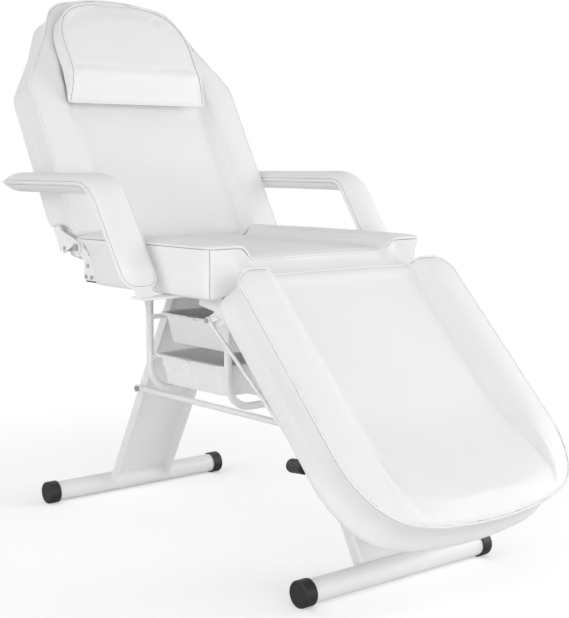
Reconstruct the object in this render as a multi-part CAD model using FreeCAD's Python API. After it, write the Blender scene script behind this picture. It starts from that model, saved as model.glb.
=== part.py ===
import FreeCAD, Part
import math
import os

# Tattoo chair: three cushions on a steel base, with ratchet hinges for the
# backrest and the leg rest, and two trays that slide under the seat.
# X runs across the chair, Y from the leg rest to the backrest, Z up.
# The origin is on the floor, midway between the two foot bars.

os.makedirs("parts", exist_ok=True)
Vector = FreeCAD.Vector
ORIGIN = Vector(0, 0, 0)
ACROSS = Vector(1, 0, 0)
ALONG = Vector(0, 1, 0)
UP = Vector(0, 0, 1)

# Driving dimensions, in millimetres and degrees
seat_half_width = 300.0
seat_top = 682.0
seat_bottom = 578.0
seat_front = 252.0
seat_rear_top = 258.0
seat_rear_bottom = 190.0
back_length = 680.0
back_thickness = 98.0
back_angle = 60.78
back_pivot_y = 281.0
back_pivot_z = 657.0
back_face = 26.5
back_start = 14.0
leg_length = 624.0
leg_thickness = 93.0
leg_angle = 46.56
leg_pivot_y = 257.0
leg_pivot_z = 576.0
leg_underside = 6.0
leg_start = 1.5
foot_half_gap = 487.0
foot_half_length = 267.0
board_thickness = 15.0
skirt = 17.0
plate_thickness = 5.0
clearance = 0.3
pin_play = 0.05
least_radius = 4.0
hinge_gap = 5.5
overrun = 20.0


pieces = {}


def keep(name, shape):
    """Put one finished piece on the list of the chair's pieces."""
    pieces[name] = shape


def save_all():
    """Write every piece, with the origin under the middle of the chair."""
    front = pieces["leg_cushion"].optimalBoundingBox(False, False).YMin
    rear = pieces["backrest_cushion"].optimalBoundingBox(False, False).YMax
    for name, shape in pieces.items():
        moved = shape.copy()
        moved.translate(Vector(0, -(front + rear) / 2, 0))
        moved.exportStep("parts/" + name + ".step")


def box(x0, x1, y0, y1, z0, z1):
    """A block between two corners."""
    return Part.makeBox(x1 - x0, y1 - y0, z1 - z0, Vector(x0, y0, z0))


def rod(start, end, radius):
    """A round bar between two points."""
    along = end.sub(start)
    return Part.makeCylinder(radius, along.Length, start, along)


def ring(start, end, radius, bore):
    """A tube or washer between two points."""
    return rod(start, end, radius).cut(rod(start, end, bore))


def across_rod(x0, x1, y, z, radius):
    """A round bar that lies across the chair."""
    return rod(Vector(x0, y, z), Vector(x1, y, z), radius)


def across_ring(x0, x1, y, z, radius, bore):
    """A tube that lies across the chair."""
    return ring(Vector(x0, y, z), Vector(x1, y, z), radius, bore)


def mirror(shape):
    """The same piece on the other side of the chair."""
    return shape.mirror(ORIGIN, ACROSS)


def turned(shape, pivot_y, pivot_z, angle):
    """Move a piece from its flat pose about the origin to its pivot."""
    copy = shape.copy()
    copy.rotate(ORIGIN, ACROSS, angle)
    copy.translate(Vector(0, pivot_y, pivot_z))
    return copy


def corner_arc(before, corner, after, radius):
    """The two tangent points and the middle point of a rounded corner."""
    into = before.sub(corner).normalize()
    away = after.sub(corner).normalize()
    half = into.getAngle(away) / 2
    reach = radius / math.tan(half)
    middle = into.add(away).normalize()
    depth = radius / math.sin(half) - radius
    start = corner.add(into.multiply(reach))
    end = corner.add(away.multiply(reach))
    return start, corner.add(middle.multiply(depth)), end


def rounded(points, radii):
    """A closed wire of straight runs joined by tangent arcs."""
    count = len(points)
    arcs = []
    for i in range(count):
        arcs.append(corner_arc(points[i - 1], points[i], points[(i + 1) % count], radii[i]))
    edges = []
    for i in range(count):
        start, middle, end = arcs[i]
        edges.append(Part.Arc(start, middle, end).toShape())
        edges.append(Part.LineSegment(end, arcs[(i + 1) % count][0]).toShape())
    return Part.Wire(edges)


def inset(points, distance):
    """The corners of a flat outline moved inwards by one distance."""
    count = len(points)
    moved = []
    for i in range(count):
        before, corner, after = points[i - 1], points[i], points[(i + 1) % count]
        first = corner.sub(before).normalize()
        second = after.sub(corner).normalize()
        normal_1 = UP.cross(first)
        normal_2 = UP.cross(second)
        bisector = normal_1.add(normal_2).normalize()
        moved.append(corner.add(bisector.multiply(distance / bisector.dot(normal_1))))
    return moved


def turns(points):
    """Plus one at each outward corner and minus one at each inward one."""
    count = len(points)
    signs = []
    for i in range(count):
        first = points[i].sub(points[i - 1])
        second = points[(i + 1) % count].sub(points[i])
        signs.append(math.copysign(1, first.cross(second).z))
    return signs


def raised(points, height):
    """The same outline at another height."""
    return [Vector(p.x, p.y, height) for p in points]


def stack(outlines, radii, levels):
    """A padded form: one outline at each level, drawn in by each inset."""
    wires = []
    for points, (height, drawn) in zip(outlines, levels):
        signs = turns(points)
        shrunk = [max(r - s * drawn, least_radius) for r, s in zip(radii, signs)]
        wires.append(rounded(raised(inset(points, drawn), height), shrunk))
    return Part.makeLoft(wires, True, True)


def plate(points, radii, x0, x1):
    """A flat plate cut in the YZ plane, between two places across."""
    wire = rounded([Vector(x0, y, z) for y, z in points], radii)
    return Part.Face(wire).extrude(Vector(x1 - x0, 0, 0))


# The crown of every cushion: how far it stands over its piping and how far
# in, and how far the sides draw in between their corners.
edge_round = 12.0
edge_soft = 2.5
drawn_in = 6.0
crown_low = 6.0
crown_low_in = 12.0
crown_high = 10.0
crown_high_in = 34.0
bolster_width = 92.0
channel_half_width = seat_half_width - bolster_width
channel_slope = 40.0
channel_depth = 34.0
channel_floor_rise = 2.0


def cushion_levels(bottom, top):
    """Heights and insets of a cushion's side and crown."""
    middle = (bottom + top) / 2
    return [
        (bottom, edge_soft),
        (bottom + edge_round, 0),
        (middle, drawn_in),
        (top - edge_round, edge_soft),
        (top, 0),
        (top + crown_low, crown_low_in),
        (top + crown_high, crown_high_in),
    ]


def channel_wire(y, lift):
    """Cross-section of the sunk middle, open upwards."""
    top = lift + crown_high + overrun
    rim = lift + crown_high
    floor = rim - channel_depth
    outer = channel_half_width + channel_slope / 2
    inner = channel_half_width - channel_slope / 2
    middle = (rim + floor) / 2
    quarter = channel_slope / 4
    eighth = channel_depth / 8
    left = [
        Vector(-outer, y, rim),
        Vector(-outer + quarter, y, rim - eighth),
        Vector(-channel_half_width, y, middle),
        Vector(-inner - quarter, y, floor + eighth),
        Vector(-inner, y, floor),
    ]
    right = [Vector(-p.x, p.y, p.z) for p in reversed(left)]
    edges = [
        Part.LineSegment(Vector(-outer, y, top), left[0]).toShape(),
        Part.Arc(left[0], left[1], left[2]).toShape(),
        Part.Arc(left[2], left[3], left[4]).toShape(),
        Part.Arc(left[4], Vector(0, y, floor + channel_floor_rise), right[0]).toShape(),
        Part.Arc(right[0], right[1], right[2]).toShape(),
        Part.Arc(right[2], right[3], right[4]).toShape(),
        Part.LineSegment(right[4], Vector(outer, y, top)).toShape(),
        Part.LineSegment(Vector(outer, y, top), Vector(-outer, y, top)).toShape(),
    ]
    return Part.Wire(edges)


def channel(y0, y1, face):
    """The sunk middle of a cushion, the same depth from end to end."""
    return Part.Face(channel_wire(y0, face)).extrude(Vector(0, y1 - y0, 0))


def channel_end(y_deep, y_shallow, face):
    """The end of the sunk middle, where it runs out to the surface."""
    wires = [channel_wire(y_deep, face), channel_wire(y_shallow, face + channel_depth + clearance)]
    return Part.makeLoft(wires, True, True)


# Seat: cushion, plywood base and the crossbeam behind it
seat_corner = 20.0
crossbeam_height = 45.0
crossbeam_depth = 52.0
crossbeam_end = 257.0
board_front_margin = 17.0
board_half = seat_half_width - skirt - hinge_gap


def seat_outline(rear):
    """Plan of the seat with its rear edge at one place."""
    w = seat_half_width
    return [Vector(-w, -seat_front, 0), Vector(w, -seat_front, 0), Vector(w, rear, 0), Vector(-w, rear, 0)]


def seat_cushion():
    """The seat pad, with pockets for the base and the hinge plates."""
    levels = cushion_levels(seat_bottom, seat_top)
    outlines = []
    for height, drawn in levels:
        share = min((height - seat_bottom) / (seat_top - seat_bottom), 1)
        outlines.append(seat_outline(seat_rear_bottom + share * (seat_rear_top - seat_rear_bottom)))
    pad = stack(outlines, [seat_corner] * 4, levels)
    pad = pad.cut(channel(-seat_front - overrun, seat_rear_top + overrun, seat_top))
    gap = clearance
    pocket_front = -seat_front + board_front_margin - gap
    pad = pad.cut(box(-board_half - gap, board_half + gap, pocket_front, seat_rear_top + overrun,
                      seat_bottom - overrun, seat_bottom + board_thickness + gap))
    beam_front = crossbeam_end - crossbeam_depth - gap
    pad = pad.cut(box(-board_half - gap, board_half + gap, beam_front, seat_rear_top + overrun,
                      seat_bottom - overrun, seat_bottom + crossbeam_height + gap))
    slot = box(board_half - gap, board_half + plate_thickness + gap, side_plate_front - gap,
               seat_rear_top + overrun, seat_bottom - overrun, side_plate_top + gap)
    pad = pad.cut(slot).cut(mirror(slot))
    notch = across_rod(leg_plate_out - plate_thickness, leg_plate_out + plate_thickness * 2,
                       -leg_pivot_y, leg_pivot_z, leg_eye + edge_soft)
    return pad.cut(notch).cut(mirror(notch))


def seat_board():
    """Plywood base with a solid crossbeam along its rear edge."""
    board = box(-board_half, board_half, -seat_front + board_front_margin, crossbeam_end,
                seat_bottom, seat_bottom + board_thickness)
    beam = box(-board_half, board_half, crossbeam_end - crossbeam_depth, crossbeam_end,
               seat_bottom, seat_bottom + crossbeam_height)
    return board.fuse(beam).removeSplitter()


# Base: foot bars with rubber caps, channel legs and tie bars
foot_radius = 24.0
foot_wall = 2.0
cap_radius = 27.5
cap_length = 28.0
cap_floor = 4.0
cap_flat = 0.5
cap_round = 4.0
foot_axis = cap_radius - cap_flat
leg_half_width = 85.0
leg_sheet = 3.0
leg_flange = 28.0
leg_corner = 8.0
leg_run = 0.5375
frame_rail = 25.0
frame_top = seat_bottom
frame_bottom = seat_bottom - frame_rail


def foot_bar(y):
    """Round tube that lies across the chair."""
    reach = foot_half_length - cap_floor
    return across_ring(-reach, reach, y, foot_axis, foot_radius, foot_radius - foot_wall)


def foot_cap(side, y):
    """Rubber cup over one end of a foot bar, flat where it stands."""
    end = side * foot_half_length
    inner = side * (foot_half_length - cap_length)
    cup = across_rod(inner, end, y, foot_axis, cap_radius)
    rims = [e for e in cup.Edges if e.Closed and abs(e.CenterOfMass.x - end) < clearance]
    cup = cup.makeFillet(cap_round, rims)
    bore_end = side * (foot_half_length - cap_floor)
    cup = cup.cut(across_rod(inner - side * overrun, bore_end, y, foot_axis, foot_radius))
    low, high = sorted((inner - side * overrun, end + side * overrun))
    return cup.cut(box(low, high, y - cap_radius, y + cap_radius, -overrun, 0))


def leg_section(web_y, z):
    """Channel section of a leg, its flanges turned towards the middle."""
    w = leg_half_width
    lean = leg_flange * math.sqrt(1 + leg_run * leg_run)
    open_y = web_y - lean
    t = leg_sheet
    outer = [(-w, open_y), (-w, web_y), (w, web_y), (w, open_y)]
    inner = [(w - t, open_y), (w - t, web_y - t), (-w + t, web_y - t), (-w + t, open_y)]
    return [Vector(x, y, z) for x, y in outer + inner]


def leg(toward):
    """Folded sheet leg, leaning from its foot bar up to the seat frame."""
    bottom = foot_axis
    foot_y = foot_half_gap - leg_run * clearance
    web_bottom = foot_y
    web_top = foot_y - leg_run * (frame_bottom - bottom)
    sharp = edge_soft / 2
    radii = [sharp / 2, leg_corner, leg_corner, sharp / 2, sharp / 2, leg_corner - leg_sheet,
             leg_corner - leg_sheet, sharp / 2]
    wires = []
    for web_y, z in ((web_bottom, bottom), (web_top, frame_bottom)):
        wires.append(rounded(leg_section(web_y, z), radii))
    channel_leg = Part.makeLoft(wires, True, True)
    around = across_rod(-leg_half_width * 2, leg_half_width * 2, foot_half_gap, foot_axis, foot_radius)
    channel_leg = channel_leg.cut(around)
    channel_leg = max(channel_leg.Solids, key=lambda s: s.Volume)
    channel_leg = channel_leg.cut(tie_bolt_hole())
    if toward < 0:
        channel_leg = channel_leg.mirror(ORIGIN, ALONG)
    return channel_leg


# Two bars tie the legs together, bolted through the leg flanges
tie_radius = 7.0
tie_height = 297.0
tie_bolt_y = 322.0
tie_overlap = 14.0
tie_x = leg_half_width + tie_radius
bolt_radius = 4.0
bolt_head_radius = 7.5
bolt_head_height = 5.5


def tie_bolt_hole():
    """Bores for the two tie bolts in the rear leg."""
    reach = leg_half_width + overrun
    return across_rod(-reach, reach, tie_bolt_y, tie_height, bolt_radius + pin_play)


def tie_bar(side):
    """Round bar along one side, flattened on its bolted ends."""
    end = tie_bolt_y + tie_overlap
    bar = rod(Vector(side * tie_x, -end, tie_height), Vector(side * tie_x, end, tie_height), tie_radius)
    for y in (-tie_bolt_y, tie_bolt_y):
        bar = bar.cut(across_rod(side * (tie_x - overrun), side * (tie_x + overrun), y, tie_height,
                                 bolt_radius + pin_play))
    return bar


def hexagon(x0, x1, y, z, radius):
    """A hexagonal bolt head or nut with its axis across the chair."""
    points = []
    for i in range(6):
        angle = math.radians(60 * i)
        points.append(Vector(x0, y + radius * math.cos(angle), z + radius * math.sin(angle)))
    face = Part.Face(Part.makePolygon(points + points[:1]))
    return face.extrude(Vector(x1 - x0, 0, 0))


def tie_bolts():
    """Four bolts: head outside the tie bar, nut inside the leg flange."""
    bolts = []
    for side in (-1, 1):
        for y in (-tie_bolt_y, tie_bolt_y):
            outside = side * (tie_x + tie_radius)
            inside = side * (leg_half_width - leg_sheet)
            head_end = outside + side * bolt_head_height
            nut_end = inside - side * bolt_head_height
            shank = across_rod(nut_end, outside, y, tie_height, bolt_radius)
            head = hexagon(outside, head_end, y, tie_height, bolt_head_radius)
            nut = hexagon(inside, nut_end, y, tie_height, bolt_head_radius)
            bolts.append(shank.fuse([head, nut]))
    return Part.makeCompound(bolts)


# Welded frame under the seat
rail_x = 150.0
rail_half_length = 235.0
cross_rail_y = 191.0
rail_wall = 2.0


def square_tube(x0, x1, y0, y1):
    """A rail of the seat frame, hollow along its length."""
    outer = box(x0, x1, y0, y1, frame_bottom, frame_top)
    t = rail_wall
    if x1 - x0 > y1 - y0:
        return outer, box(x0 - overrun, x1 + overrun, y0 + t, y1 - t, frame_bottom + t, frame_top - t)
    return outer, box(x0 + t, x1 - t, y0 - overrun, y1 + overrun, frame_bottom + t, frame_top - t)


def seat_frame():
    """Two side rails with two cross rails welded between them."""
    half = frame_rail / 2
    frame = None
    for side in (-1, 1):
        x = side * rail_x
        outer, core = square_tube(x - half, x + half, -rail_half_length, rail_half_length)
        tube = outer.cut(core)
        frame = tube if frame is None else frame.fuse(tube)
    for y in (-cross_rail_y, cross_rail_y):
        outer, core = square_tube(-rail_x + half, rail_x - half, y - half, y + half)
        frame = frame.fuse(outer.cut(core))
    return frame


# Tray carriers: two hanging hoops and the rails on them
hoop_radius = 8.5
hoop_wall = 1.5
hoop_rear_y = 187.0
hoop_front_y = -115.0
hoop_bottom = 318.0
hoop_bend = 60.0


def hoop(y):
    """U-shaped tube that hangs from the two side rails."""
    x = rail_x
    b = hoop_bend
    low = hoop_bottom
    side = b * math.sin(math.radians(45))
    edges = [
        Part.LineSegment(Vector(-x, y, frame_bottom), Vector(-x, y, low + b)).toShape(),
        Part.Arc(Vector(-x, y, low + b), Vector(-x + b - side, y, low + b - side),
                 Vector(-x + b, y, low)).toShape(),
        Part.LineSegment(Vector(-x + b, y, low), Vector(x - b, y, low)).toShape(),
        Part.Arc(Vector(x - b, y, low), Vector(x - b + side, y, low + b - side),
                 Vector(x, y, low + b)).toShape(),
        Part.LineSegment(Vector(x, y, low + b), Vector(x, y, frame_bottom)).toShape(),
    ]
    path = Part.Wire(edges)
    tubes = []
    for radius in (hoop_radius, hoop_radius - hoop_wall):
        circle = Part.Circle(Vector(-x, y, frame_bottom), UP, radius)
        tubes.append(path.makePipeShell([Part.Wire([circle.toShape()])], True, False))
    return tubes[0].cut(tubes[1])


# Slanted braces from the rear hoop up to the side rails
brace_radius = 5.0
brace_low = 500.0
brace_top_y = 222.0


def hoop_braces():
    """One thin brace on each side, behind the rear hoop."""
    braces = []
    for side in (-1, 1):
        start = Vector(side * rail_x, hoop_rear_y, brace_low)
        end = Vector(side * rail_x, brace_top_y, frame_bottom + overrun)
        brace = rod(start, end, brace_radius)
        brace = brace.cut(rod(Vector(side * rail_x, hoop_rear_y, frame_bottom - frame_rail * 3),
                              Vector(side * rail_x, hoop_rear_y, frame_bottom + overrun), hoop_radius))
        brace = brace.cut(box(side * rail_x - overrun, side * rail_x + overrun, hoop_rear_y - overrun,
                              brace_top_y + overrun * 2, frame_bottom, frame_top + overrun))
        braces.append(max(brace.Solids, key=lambda s: s.Volume))
    return Part.makeCompound(braces)


# Trays
tray_upper_top = 505.0
tray_lower_top = 409.0
tray_depth = 70.0
tray_half_length = 145.0
tray_wall = 2.5
tray_rim = 13.0
tray_rim_height = 6.0
tray_taper = 12.0
tray_corner = 16.0
tray_shift = 17.0
tray_offset = 7.0
tray_tab = 16.0
rail_leg = 11.0
rail_sheet = 1.5
tray_play = 1.0
tray_front = hoop_front_y + hoop_radius + rail_sheet + tray_play
tray_rear = hoop_rear_y - hoop_radius - rail_sheet - tray_play


def rect_wire(x0, x1, y0, y1, z, radius):
    """Rounded rectangle at one height."""
    points = [Vector(x0, y0, z), Vector(x1, y0, z), Vector(x1, y1, z), Vector(x0, y1, z)]
    return rounded(points, [radius] * 4)


def tray(top, shift):
    """Moulded tray with tapered walls, a rolled rim and finger tabs."""
    x0 = shift - tray_half_length
    x1 = shift + tray_half_length
    y0, y1 = tray_front, tray_rear
    rim, t, taper = tray_rim, tray_wall, tray_taper
    bottom = top - tray_depth

    def shell(grow, low):
        upper = rect_wire(x0 + rim - grow, x1 - rim + grow, y0 + rim - grow, y1 - rim + grow,
                          top, tray_corner + grow)
        lower_in = rim + taper - grow
        lower = rect_wire(x0 + lower_in, x1 - lower_in, y0 + lower_in, y1 - lower_in,
                          low, tray_corner + grow)
        return Part.makeLoft([lower, upper], True, True)

    body = shell(t, bottom)
    rim_face = Part.Face(rect_wire(x0, x1, y0, y1, top - tray_rim_height, tray_corner + rim))
    body = body.fuse(rim_face.extrude(Vector(0, 0, tray_rim_height)))
    reach = box(x0 - tray_tab / 3, x1 + tray_tab / 3, y0, y1, bottom, top)
    for end in (x0, x1):
        tab = Part.makeCylinder(tray_tab, tray_rim_height, Vector(end, (y0 + y1) / 2, top - tray_rim_height))
        body = body.fuse(tab.common(reach))
    return body.cut(shell(0, bottom + t)).removeSplitter()


def tray_rails():
    """Angle rails across both hoops, one pair under each tray rim."""
    rails = []
    for top in (tray_upper_top, tray_lower_top):
        seat = top - tray_rim_height
        for y, inward in ((hoop_front_y + hoop_radius, 1), (hoop_rear_y - hoop_radius, -1)):
            y_in = sorted((y, y + inward * rail_leg))
            y_wall = sorted((y, y + inward * rail_sheet))
            flat = box(-rail_x, rail_x, y_in[0], y_in[1], seat - rail_sheet, seat)
            wall = box(-rail_x, rail_x, y_wall[0], y_wall[1], seat - rail_leg, seat)
            rails.append(flat.fuse(wall).removeSplitter())
    return Part.makeCompound(rails)


# Backrest, drawn flat about its pivot and then turned up
back_outline_shares = [(1.0, 0.0), (1.0, 0.616), (0.75, 0.79), (0.585, 0.945), (0.0, 0.995)]
back_radius_shares = [0.04, 0.24, 0.32, 0.26, 1.6]
back_end_shares = [1.0, 0.62, 0.0, -0.6, 0.55]
back_tuck = 14.0
back_roll_z = -56.0
pocket_width = 32.0
pocket_x = seat_half_width - pocket_width
pocket_top_z = 26.5
pocket_middle_y = 54.0
pocket_middle_z = -6.0
pocket_end_y = 88.0
back_back = back_face - back_thickness


def back_outline(y_start):
    """Plan of the backrest from its lower edge to the top of the head end."""
    w = seat_half_width
    right = [(w * a, back_start + back_length * s) for a, s in back_outline_shares]
    right[0] = (w, y_start)
    left = [(-x, y) for x, y in reversed(right[:-1])]
    return [Vector(x, y, 0) for x, y in right + left]


def back_radii():
    """Corner radii of the backrest plan, in the same order."""
    right = [seat_half_width * s for s in back_radius_shares]
    return right + list(reversed(right[:-1]))


def back_cushion():
    """The backrest pad, with pockets for its board and hinge arms."""
    levels = cushion_levels(back_back, back_face)
    tucked = -back_tuck / 4
    starts = [back_tuck / 2, tucked, tucked, back_start - edge_soft] + [back_start] * 3
    outlines = [back_outline(start) for start in starts]
    pad = stack(outlines, back_radii(), levels)
    deep_end = back_start + back_length / 2
    pad = pad.cut(channel(-overrun, deep_end, back_face))
    pad = pad.cut(channel_end(deep_end, deep_end + back_length / 4, back_face))
    pad = pad.cut(back_board_blank(clearance))
    pocket = side_pocket()
    arm = back_arm_slot()
    for piece in (pocket, arm):
        pad = pad.cut(piece).cut(mirror(piece))
    return pad


def side_pocket():
    """Open corner at one side of the lower end, round the hinge."""
    below = back_back - overrun
    top = Part.Arc(Vector(pocket_x, 0, pocket_top_z), Vector(pocket_x, pocket_middle_y, pocket_middle_z),
                   Vector(pocket_x, pocket_end_y, below)).toShape()
    ends = [Vector(pocket_x, pocket_end_y, below), Vector(pocket_x, -overrun * 2, below),
            Vector(pocket_x, -overrun * 2, pocket_top_z), Vector(pocket_x, 0, pocket_top_z)]
    edges = [top]
    for first, second in zip(ends, ends[1:]):
        edges.append(Part.LineSegment(first, second).toShape())
    face = Part.Face(Part.Wire(edges))
    return face.extrude(Vector(seat_half_width - pocket_x + overrun, 0, 0))


board_low_edge = 91.0
arm_in = seat_half_width - skirt
tongue_gap = 43.0
tongue_half_width = arm_in - tongue_gap


def back_board_blank(grow):
    """Plywood back panel, or the pocket for it in the pad."""
    outline = inset(back_outline(board_low_edge), skirt - grow)
    radii = [r - s * (skirt - grow) for r, s in zip(back_radii(), turns(outline))]
    radii = [max(r, skirt / 4) for r in radii]
    top = back_back + board_thickness + grow
    low = back_back - (overrun if grow else 0)
    panel = Part.Face(rounded(raised(outline, low), radii)).extrude(Vector(0, 0, top - low))
    tongue = box(-tongue_half_width - grow, tongue_half_width + grow, back_tuck * 1.5 - grow,
                 board_low_edge + skirt * 2, low, top)
    return panel.fuse(tongue).removeSplitter()


# Backrest hinge: a fixed toothed plate on each side of the seat and an arm
# with a pawl on the backrest, joined by a bolt
hinge_bolt_radius = 5.0
side_plate_front = 120.0
side_plate_top = 640.0
side_plate_low = 582.0
ratchet_root = 21.5
ratchet_tip = 25.5
tooth_pitch_angle = 9.0
back_tooth_start = -92.0
back_tooth_count = 12
arm_nose = 15.0
arm_width = 28.0
arm_length = 215.0
washer = 0.6
pawl_pin_radius = 3.0
pawl_hub = 8.0
pawl_thickness = plate_thickness - clearance * 2
pawl_root_share = 0.95
pawl_tip_share = 0.2
rivet_head_share = 1.75
nose_share = 0.7
web_low_share = 2.6
web_high_share = 1.9
back_pawl_y = 22.0
back_pawl_z = -50.0
back_pawl_tip_y = 7.3
back_pawl_tip_z = -25.1


def saw_disc(x0, x1, y, z, root, tip, start_angle, pitch_angle, count):
    """A disc with saw teeth over part of its rim."""
    points = []
    for i in range(count):
        low = math.radians(start_angle + pitch_angle * i)
        high = math.radians(start_angle + pitch_angle * (i + 1))
        points.append(Vector(x0, y + root * math.cos(low), z + root * math.sin(low)))
        points.append(Vector(x0, y + tip * math.cos(high), z + tip * math.sin(high)))
    points.append(Vector(x0, y, z))
    teeth = Part.Face(Part.makePolygon(points + points[:1])).extrude(Vector(x1 - x0, 0, 0))
    return teeth.fuse(across_rod(x0, x1, y, z, root))


def side_plate():
    """Fixed hinge plate on the right side of the seat, with its teeth."""
    x0 = board_half
    x1 = board_half + plate_thickness
    y, z = back_pivot_y, back_pivot_z
    rear = crossbeam_end - clearance
    points = [(side_plate_front, side_plate_low), (rear, side_plate_low), (rear, side_plate_top),
              (y - ratchet_root, z), (y - ratchet_root * 2, side_plate_top),
              (side_plate_front, side_plate_top - skirt)]
    body = plate(points, [skirt / 4] * 6, x0, x1)
    neck = plate([(y - ratchet_root, side_plate_low + crossbeam_height), (y, z - ratchet_root / 2),
                  (y, z + ratchet_root / 2), (y - ratchet_root * 2, z - ratchet_root / 2)],
                 [edge_soft] * 4, x0, x1)
    disc = saw_disc(x0, x1, y, z, ratchet_root, ratchet_tip, back_tooth_start, tooth_pitch_angle,
                    back_tooth_count)
    whole = body.fuse([neck, disc])
    whole = whole.cut(across_rod(x0 - overrun, x1 + overrun, y, z, hinge_bolt_radius + pin_play))
    return whole.removeSplitter()


def arm_shape(grow):
    """The hinge arm of the backrest in its flat pose, before its bores."""
    x0 = arm_in - grow
    x1 = arm_in + plate_thickness + grow
    back = back_back - grow
    strap_top = back_back + arm_width + grow
    end = board_low_edge + arm_length + grow
    start = arm_nose - grow
    strap = plate([(start, back), (end, back), (end, strap_top), (start + arm_width, strap_top)],
                  [edge_soft * 2] * 4, x0, x1)
    nose = arm_nose + grow
    corner = nose * nose_share
    web = plate([(corner, -corner), (start, back + edge_soft * 3),
                 (start + arm_width * web_low_share, back + edge_soft * 3),
                 (start + arm_width * web_high_share, strap_top - edge_soft), (corner, corner)],
                [edge_soft] * 5, x0, x1)
    eye = across_rod(x0, x1, 0, 0, nose)
    return strap.fuse([web, eye])


def back_arm_slot():
    """Room for the hinge arm inside the pad."""
    return arm_shape(clearance)


def back_arm():
    """Right hinge arm: flat plate from the bolt up along the board edge."""
    arm = arm_shape(0)
    x0 = arm_in - overrun
    x1 = arm_in + plate_thickness + overrun
    arm = arm.cut(across_rod(x0, x1, 0, 0, hinge_bolt_radius + pin_play))
    arm = arm.cut(across_rod(x0, x1, back_pawl_y, back_pawl_z, pawl_pin_radius))
    return arm.removeSplitter()


def back_bolt():
    """Right hinge bolt with a nut inside the seat plate."""
    y, z = back_pivot_y, back_pivot_z
    inside = board_half
    outside = arm_in + plate_thickness + washer
    nut_end = inside - bolt_head_height
    head_end = outside + bolt_head_height
    shank = across_rod(nut_end, outside, y, z, hinge_bolt_radius)
    nut = hexagon(nut_end, inside, y, z, bolt_head_radius + edge_soft / 2)
    head = hexagon(outside, head_end, y, z, bolt_head_radius + edge_soft / 2)
    return shank.fuse([nut, head])


def pawl(x0, x1, hub, tip, hub_radius, pin_radius):
    """A pawl: round hub that tapers to a pointed tip."""
    along = Vector(0, tip[0] - hub[0], tip[1] - hub[1])
    reach = along.Length
    direction = along.normalize()
    side = Vector(0, -direction.z, direction.y)
    base = Vector(x0, hub[0], hub[1])
    wide = hub_radius * pawl_root_share
    narrow = hub_radius * pawl_tip_share
    points = [base.add(Vector(side).multiply(wide)), base.sub(Vector(side).multiply(wide)),
              base.add(Vector(direction).multiply(reach)).sub(Vector(side).multiply(narrow)),
              base.add(Vector(direction).multiply(reach)).add(Vector(side).multiply(narrow))]
    blade = Part.Face(Part.makePolygon(points + points[:1])).extrude(Vector(x1 - x0, 0, 0))
    disc = rod(base, Vector(x1, hub[0], hub[1]), hub_radius)
    bore = across_rod(x0 - overrun, x1 + overrun, hub[0], hub[1], pin_radius + pin_play)
    return blade.fuse(disc).cut(bore).removeSplitter()


def back_pawl():
    """Right pawl of the backrest ratchet, in the plane of the teeth."""
    x0 = board_half + clearance
    return pawl(x0, x0 + pawl_thickness, (back_pawl_y, back_pawl_z), (back_pawl_tip_y, back_pawl_tip_z),
                pawl_hub, pawl_pin_radius)


def back_pawl_pin():
    """Rivet through the arm that carries the pawl."""
    x0 = board_half + clearance - pawl_pin_radius
    x1 = arm_in + plate_thickness + pawl_pin_radius / 2
    pin = across_rod(x0, x1, back_pawl_y, back_pawl_z, pawl_pin_radius)
    head = pawl_pin_radius * rivet_head_share
    low = across_rod(x0, board_half + clearance / 2, back_pawl_y, back_pawl_z, head)
    high = across_rod(arm_in + plate_thickness, x1, back_pawl_y, back_pawl_z, head)
    return pin.fuse([low, high])


# Head pillow: a wedge with upright sides, thickest above its lower edge
pillow_low = 351.0
pillow_height = 280.0
pillow_width_share = 0.663
pillow_half_width = seat_half_width * pillow_width_share
pillow_thickness = 46.5
pillow_aside = -20.0
tape_thickness = 1.2
pillow_gap = crown_high + tape_thickness * 2 + clearance
pillow_shares = [(0.0, 1.0, 0.14), (0.05, 0.99, 0.38), (0.14, 0.97, 0.74), (0.24, 0.96, 0.98),
                 (0.34, 0.95, 1.0), (0.6, 0.95, 0.97), (0.78, 0.86, 0.92), (0.90, 0.68, 0.85),
                 (0.97, 0.42, 0.72), (1.0, 0.25, 0.55)]
pillow_edge_shares = [(0.12, 0.0), (0.02, 0.1), (0.0, 0.45), (0.0, 0.7), (0.08, 0.86)]


def pillow():
    """Padded headrest that lies on the upper backrest."""
    wires = []
    for along, wide, thick in pillow_shares:
        y = back_start + pillow_low + pillow_height * along
        w = pillow_half_width * wide
        base = back_face + pillow_gap
        depth = pillow_thickness * thick
        right = [Vector(w - depth * into, y, base + depth * up) for into, up in pillow_edge_shares]
        left = [Vector(-p.x, p.y, p.z) for p in reversed(right)]
        edges = [
            Part.LineSegment(left[-1], right[0]).toShape(),
            Part.Arc(right[0], right[1], right[2]).toShape(),
            Part.Arc(right[2], right[3], right[4]).toShape(),
            Part.Arc(right[4], Vector(0, y, base + depth), left[0]).toShape(),
            Part.Arc(left[0], left[1], left[2]).toShape(),
            Part.Arc(left[2], left[3], left[4]).toShape(),
        ]
        wires.append(Part.Wire(edges))
    pad = Part.makeLoft(wires, True, False)
    pad.translate(Vector(pillow_aside, 0, 0))
    return pad


# Two strips of hook-and-loop tape between the pillow and the backrest
tape_half_width = 20.0
tape_aside = 70.0
tape_start = 545.0
tape_length = 75.0


def pillow_tapes(layer):
    """One layer of the tape pair: the hooks below, the loops above."""
    low = back_face + crown_high + layer * (tape_thickness + clearance / 2)
    strips = []
    for side in (-1, 1):
        x = side * tape_aside + pillow_aside
        strips.append(box(x - tape_half_width, x + tape_half_width, tape_start, tape_start + tape_length,
                          low, low + tape_thickness))
    return Part.makeCompound(strips)


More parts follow.
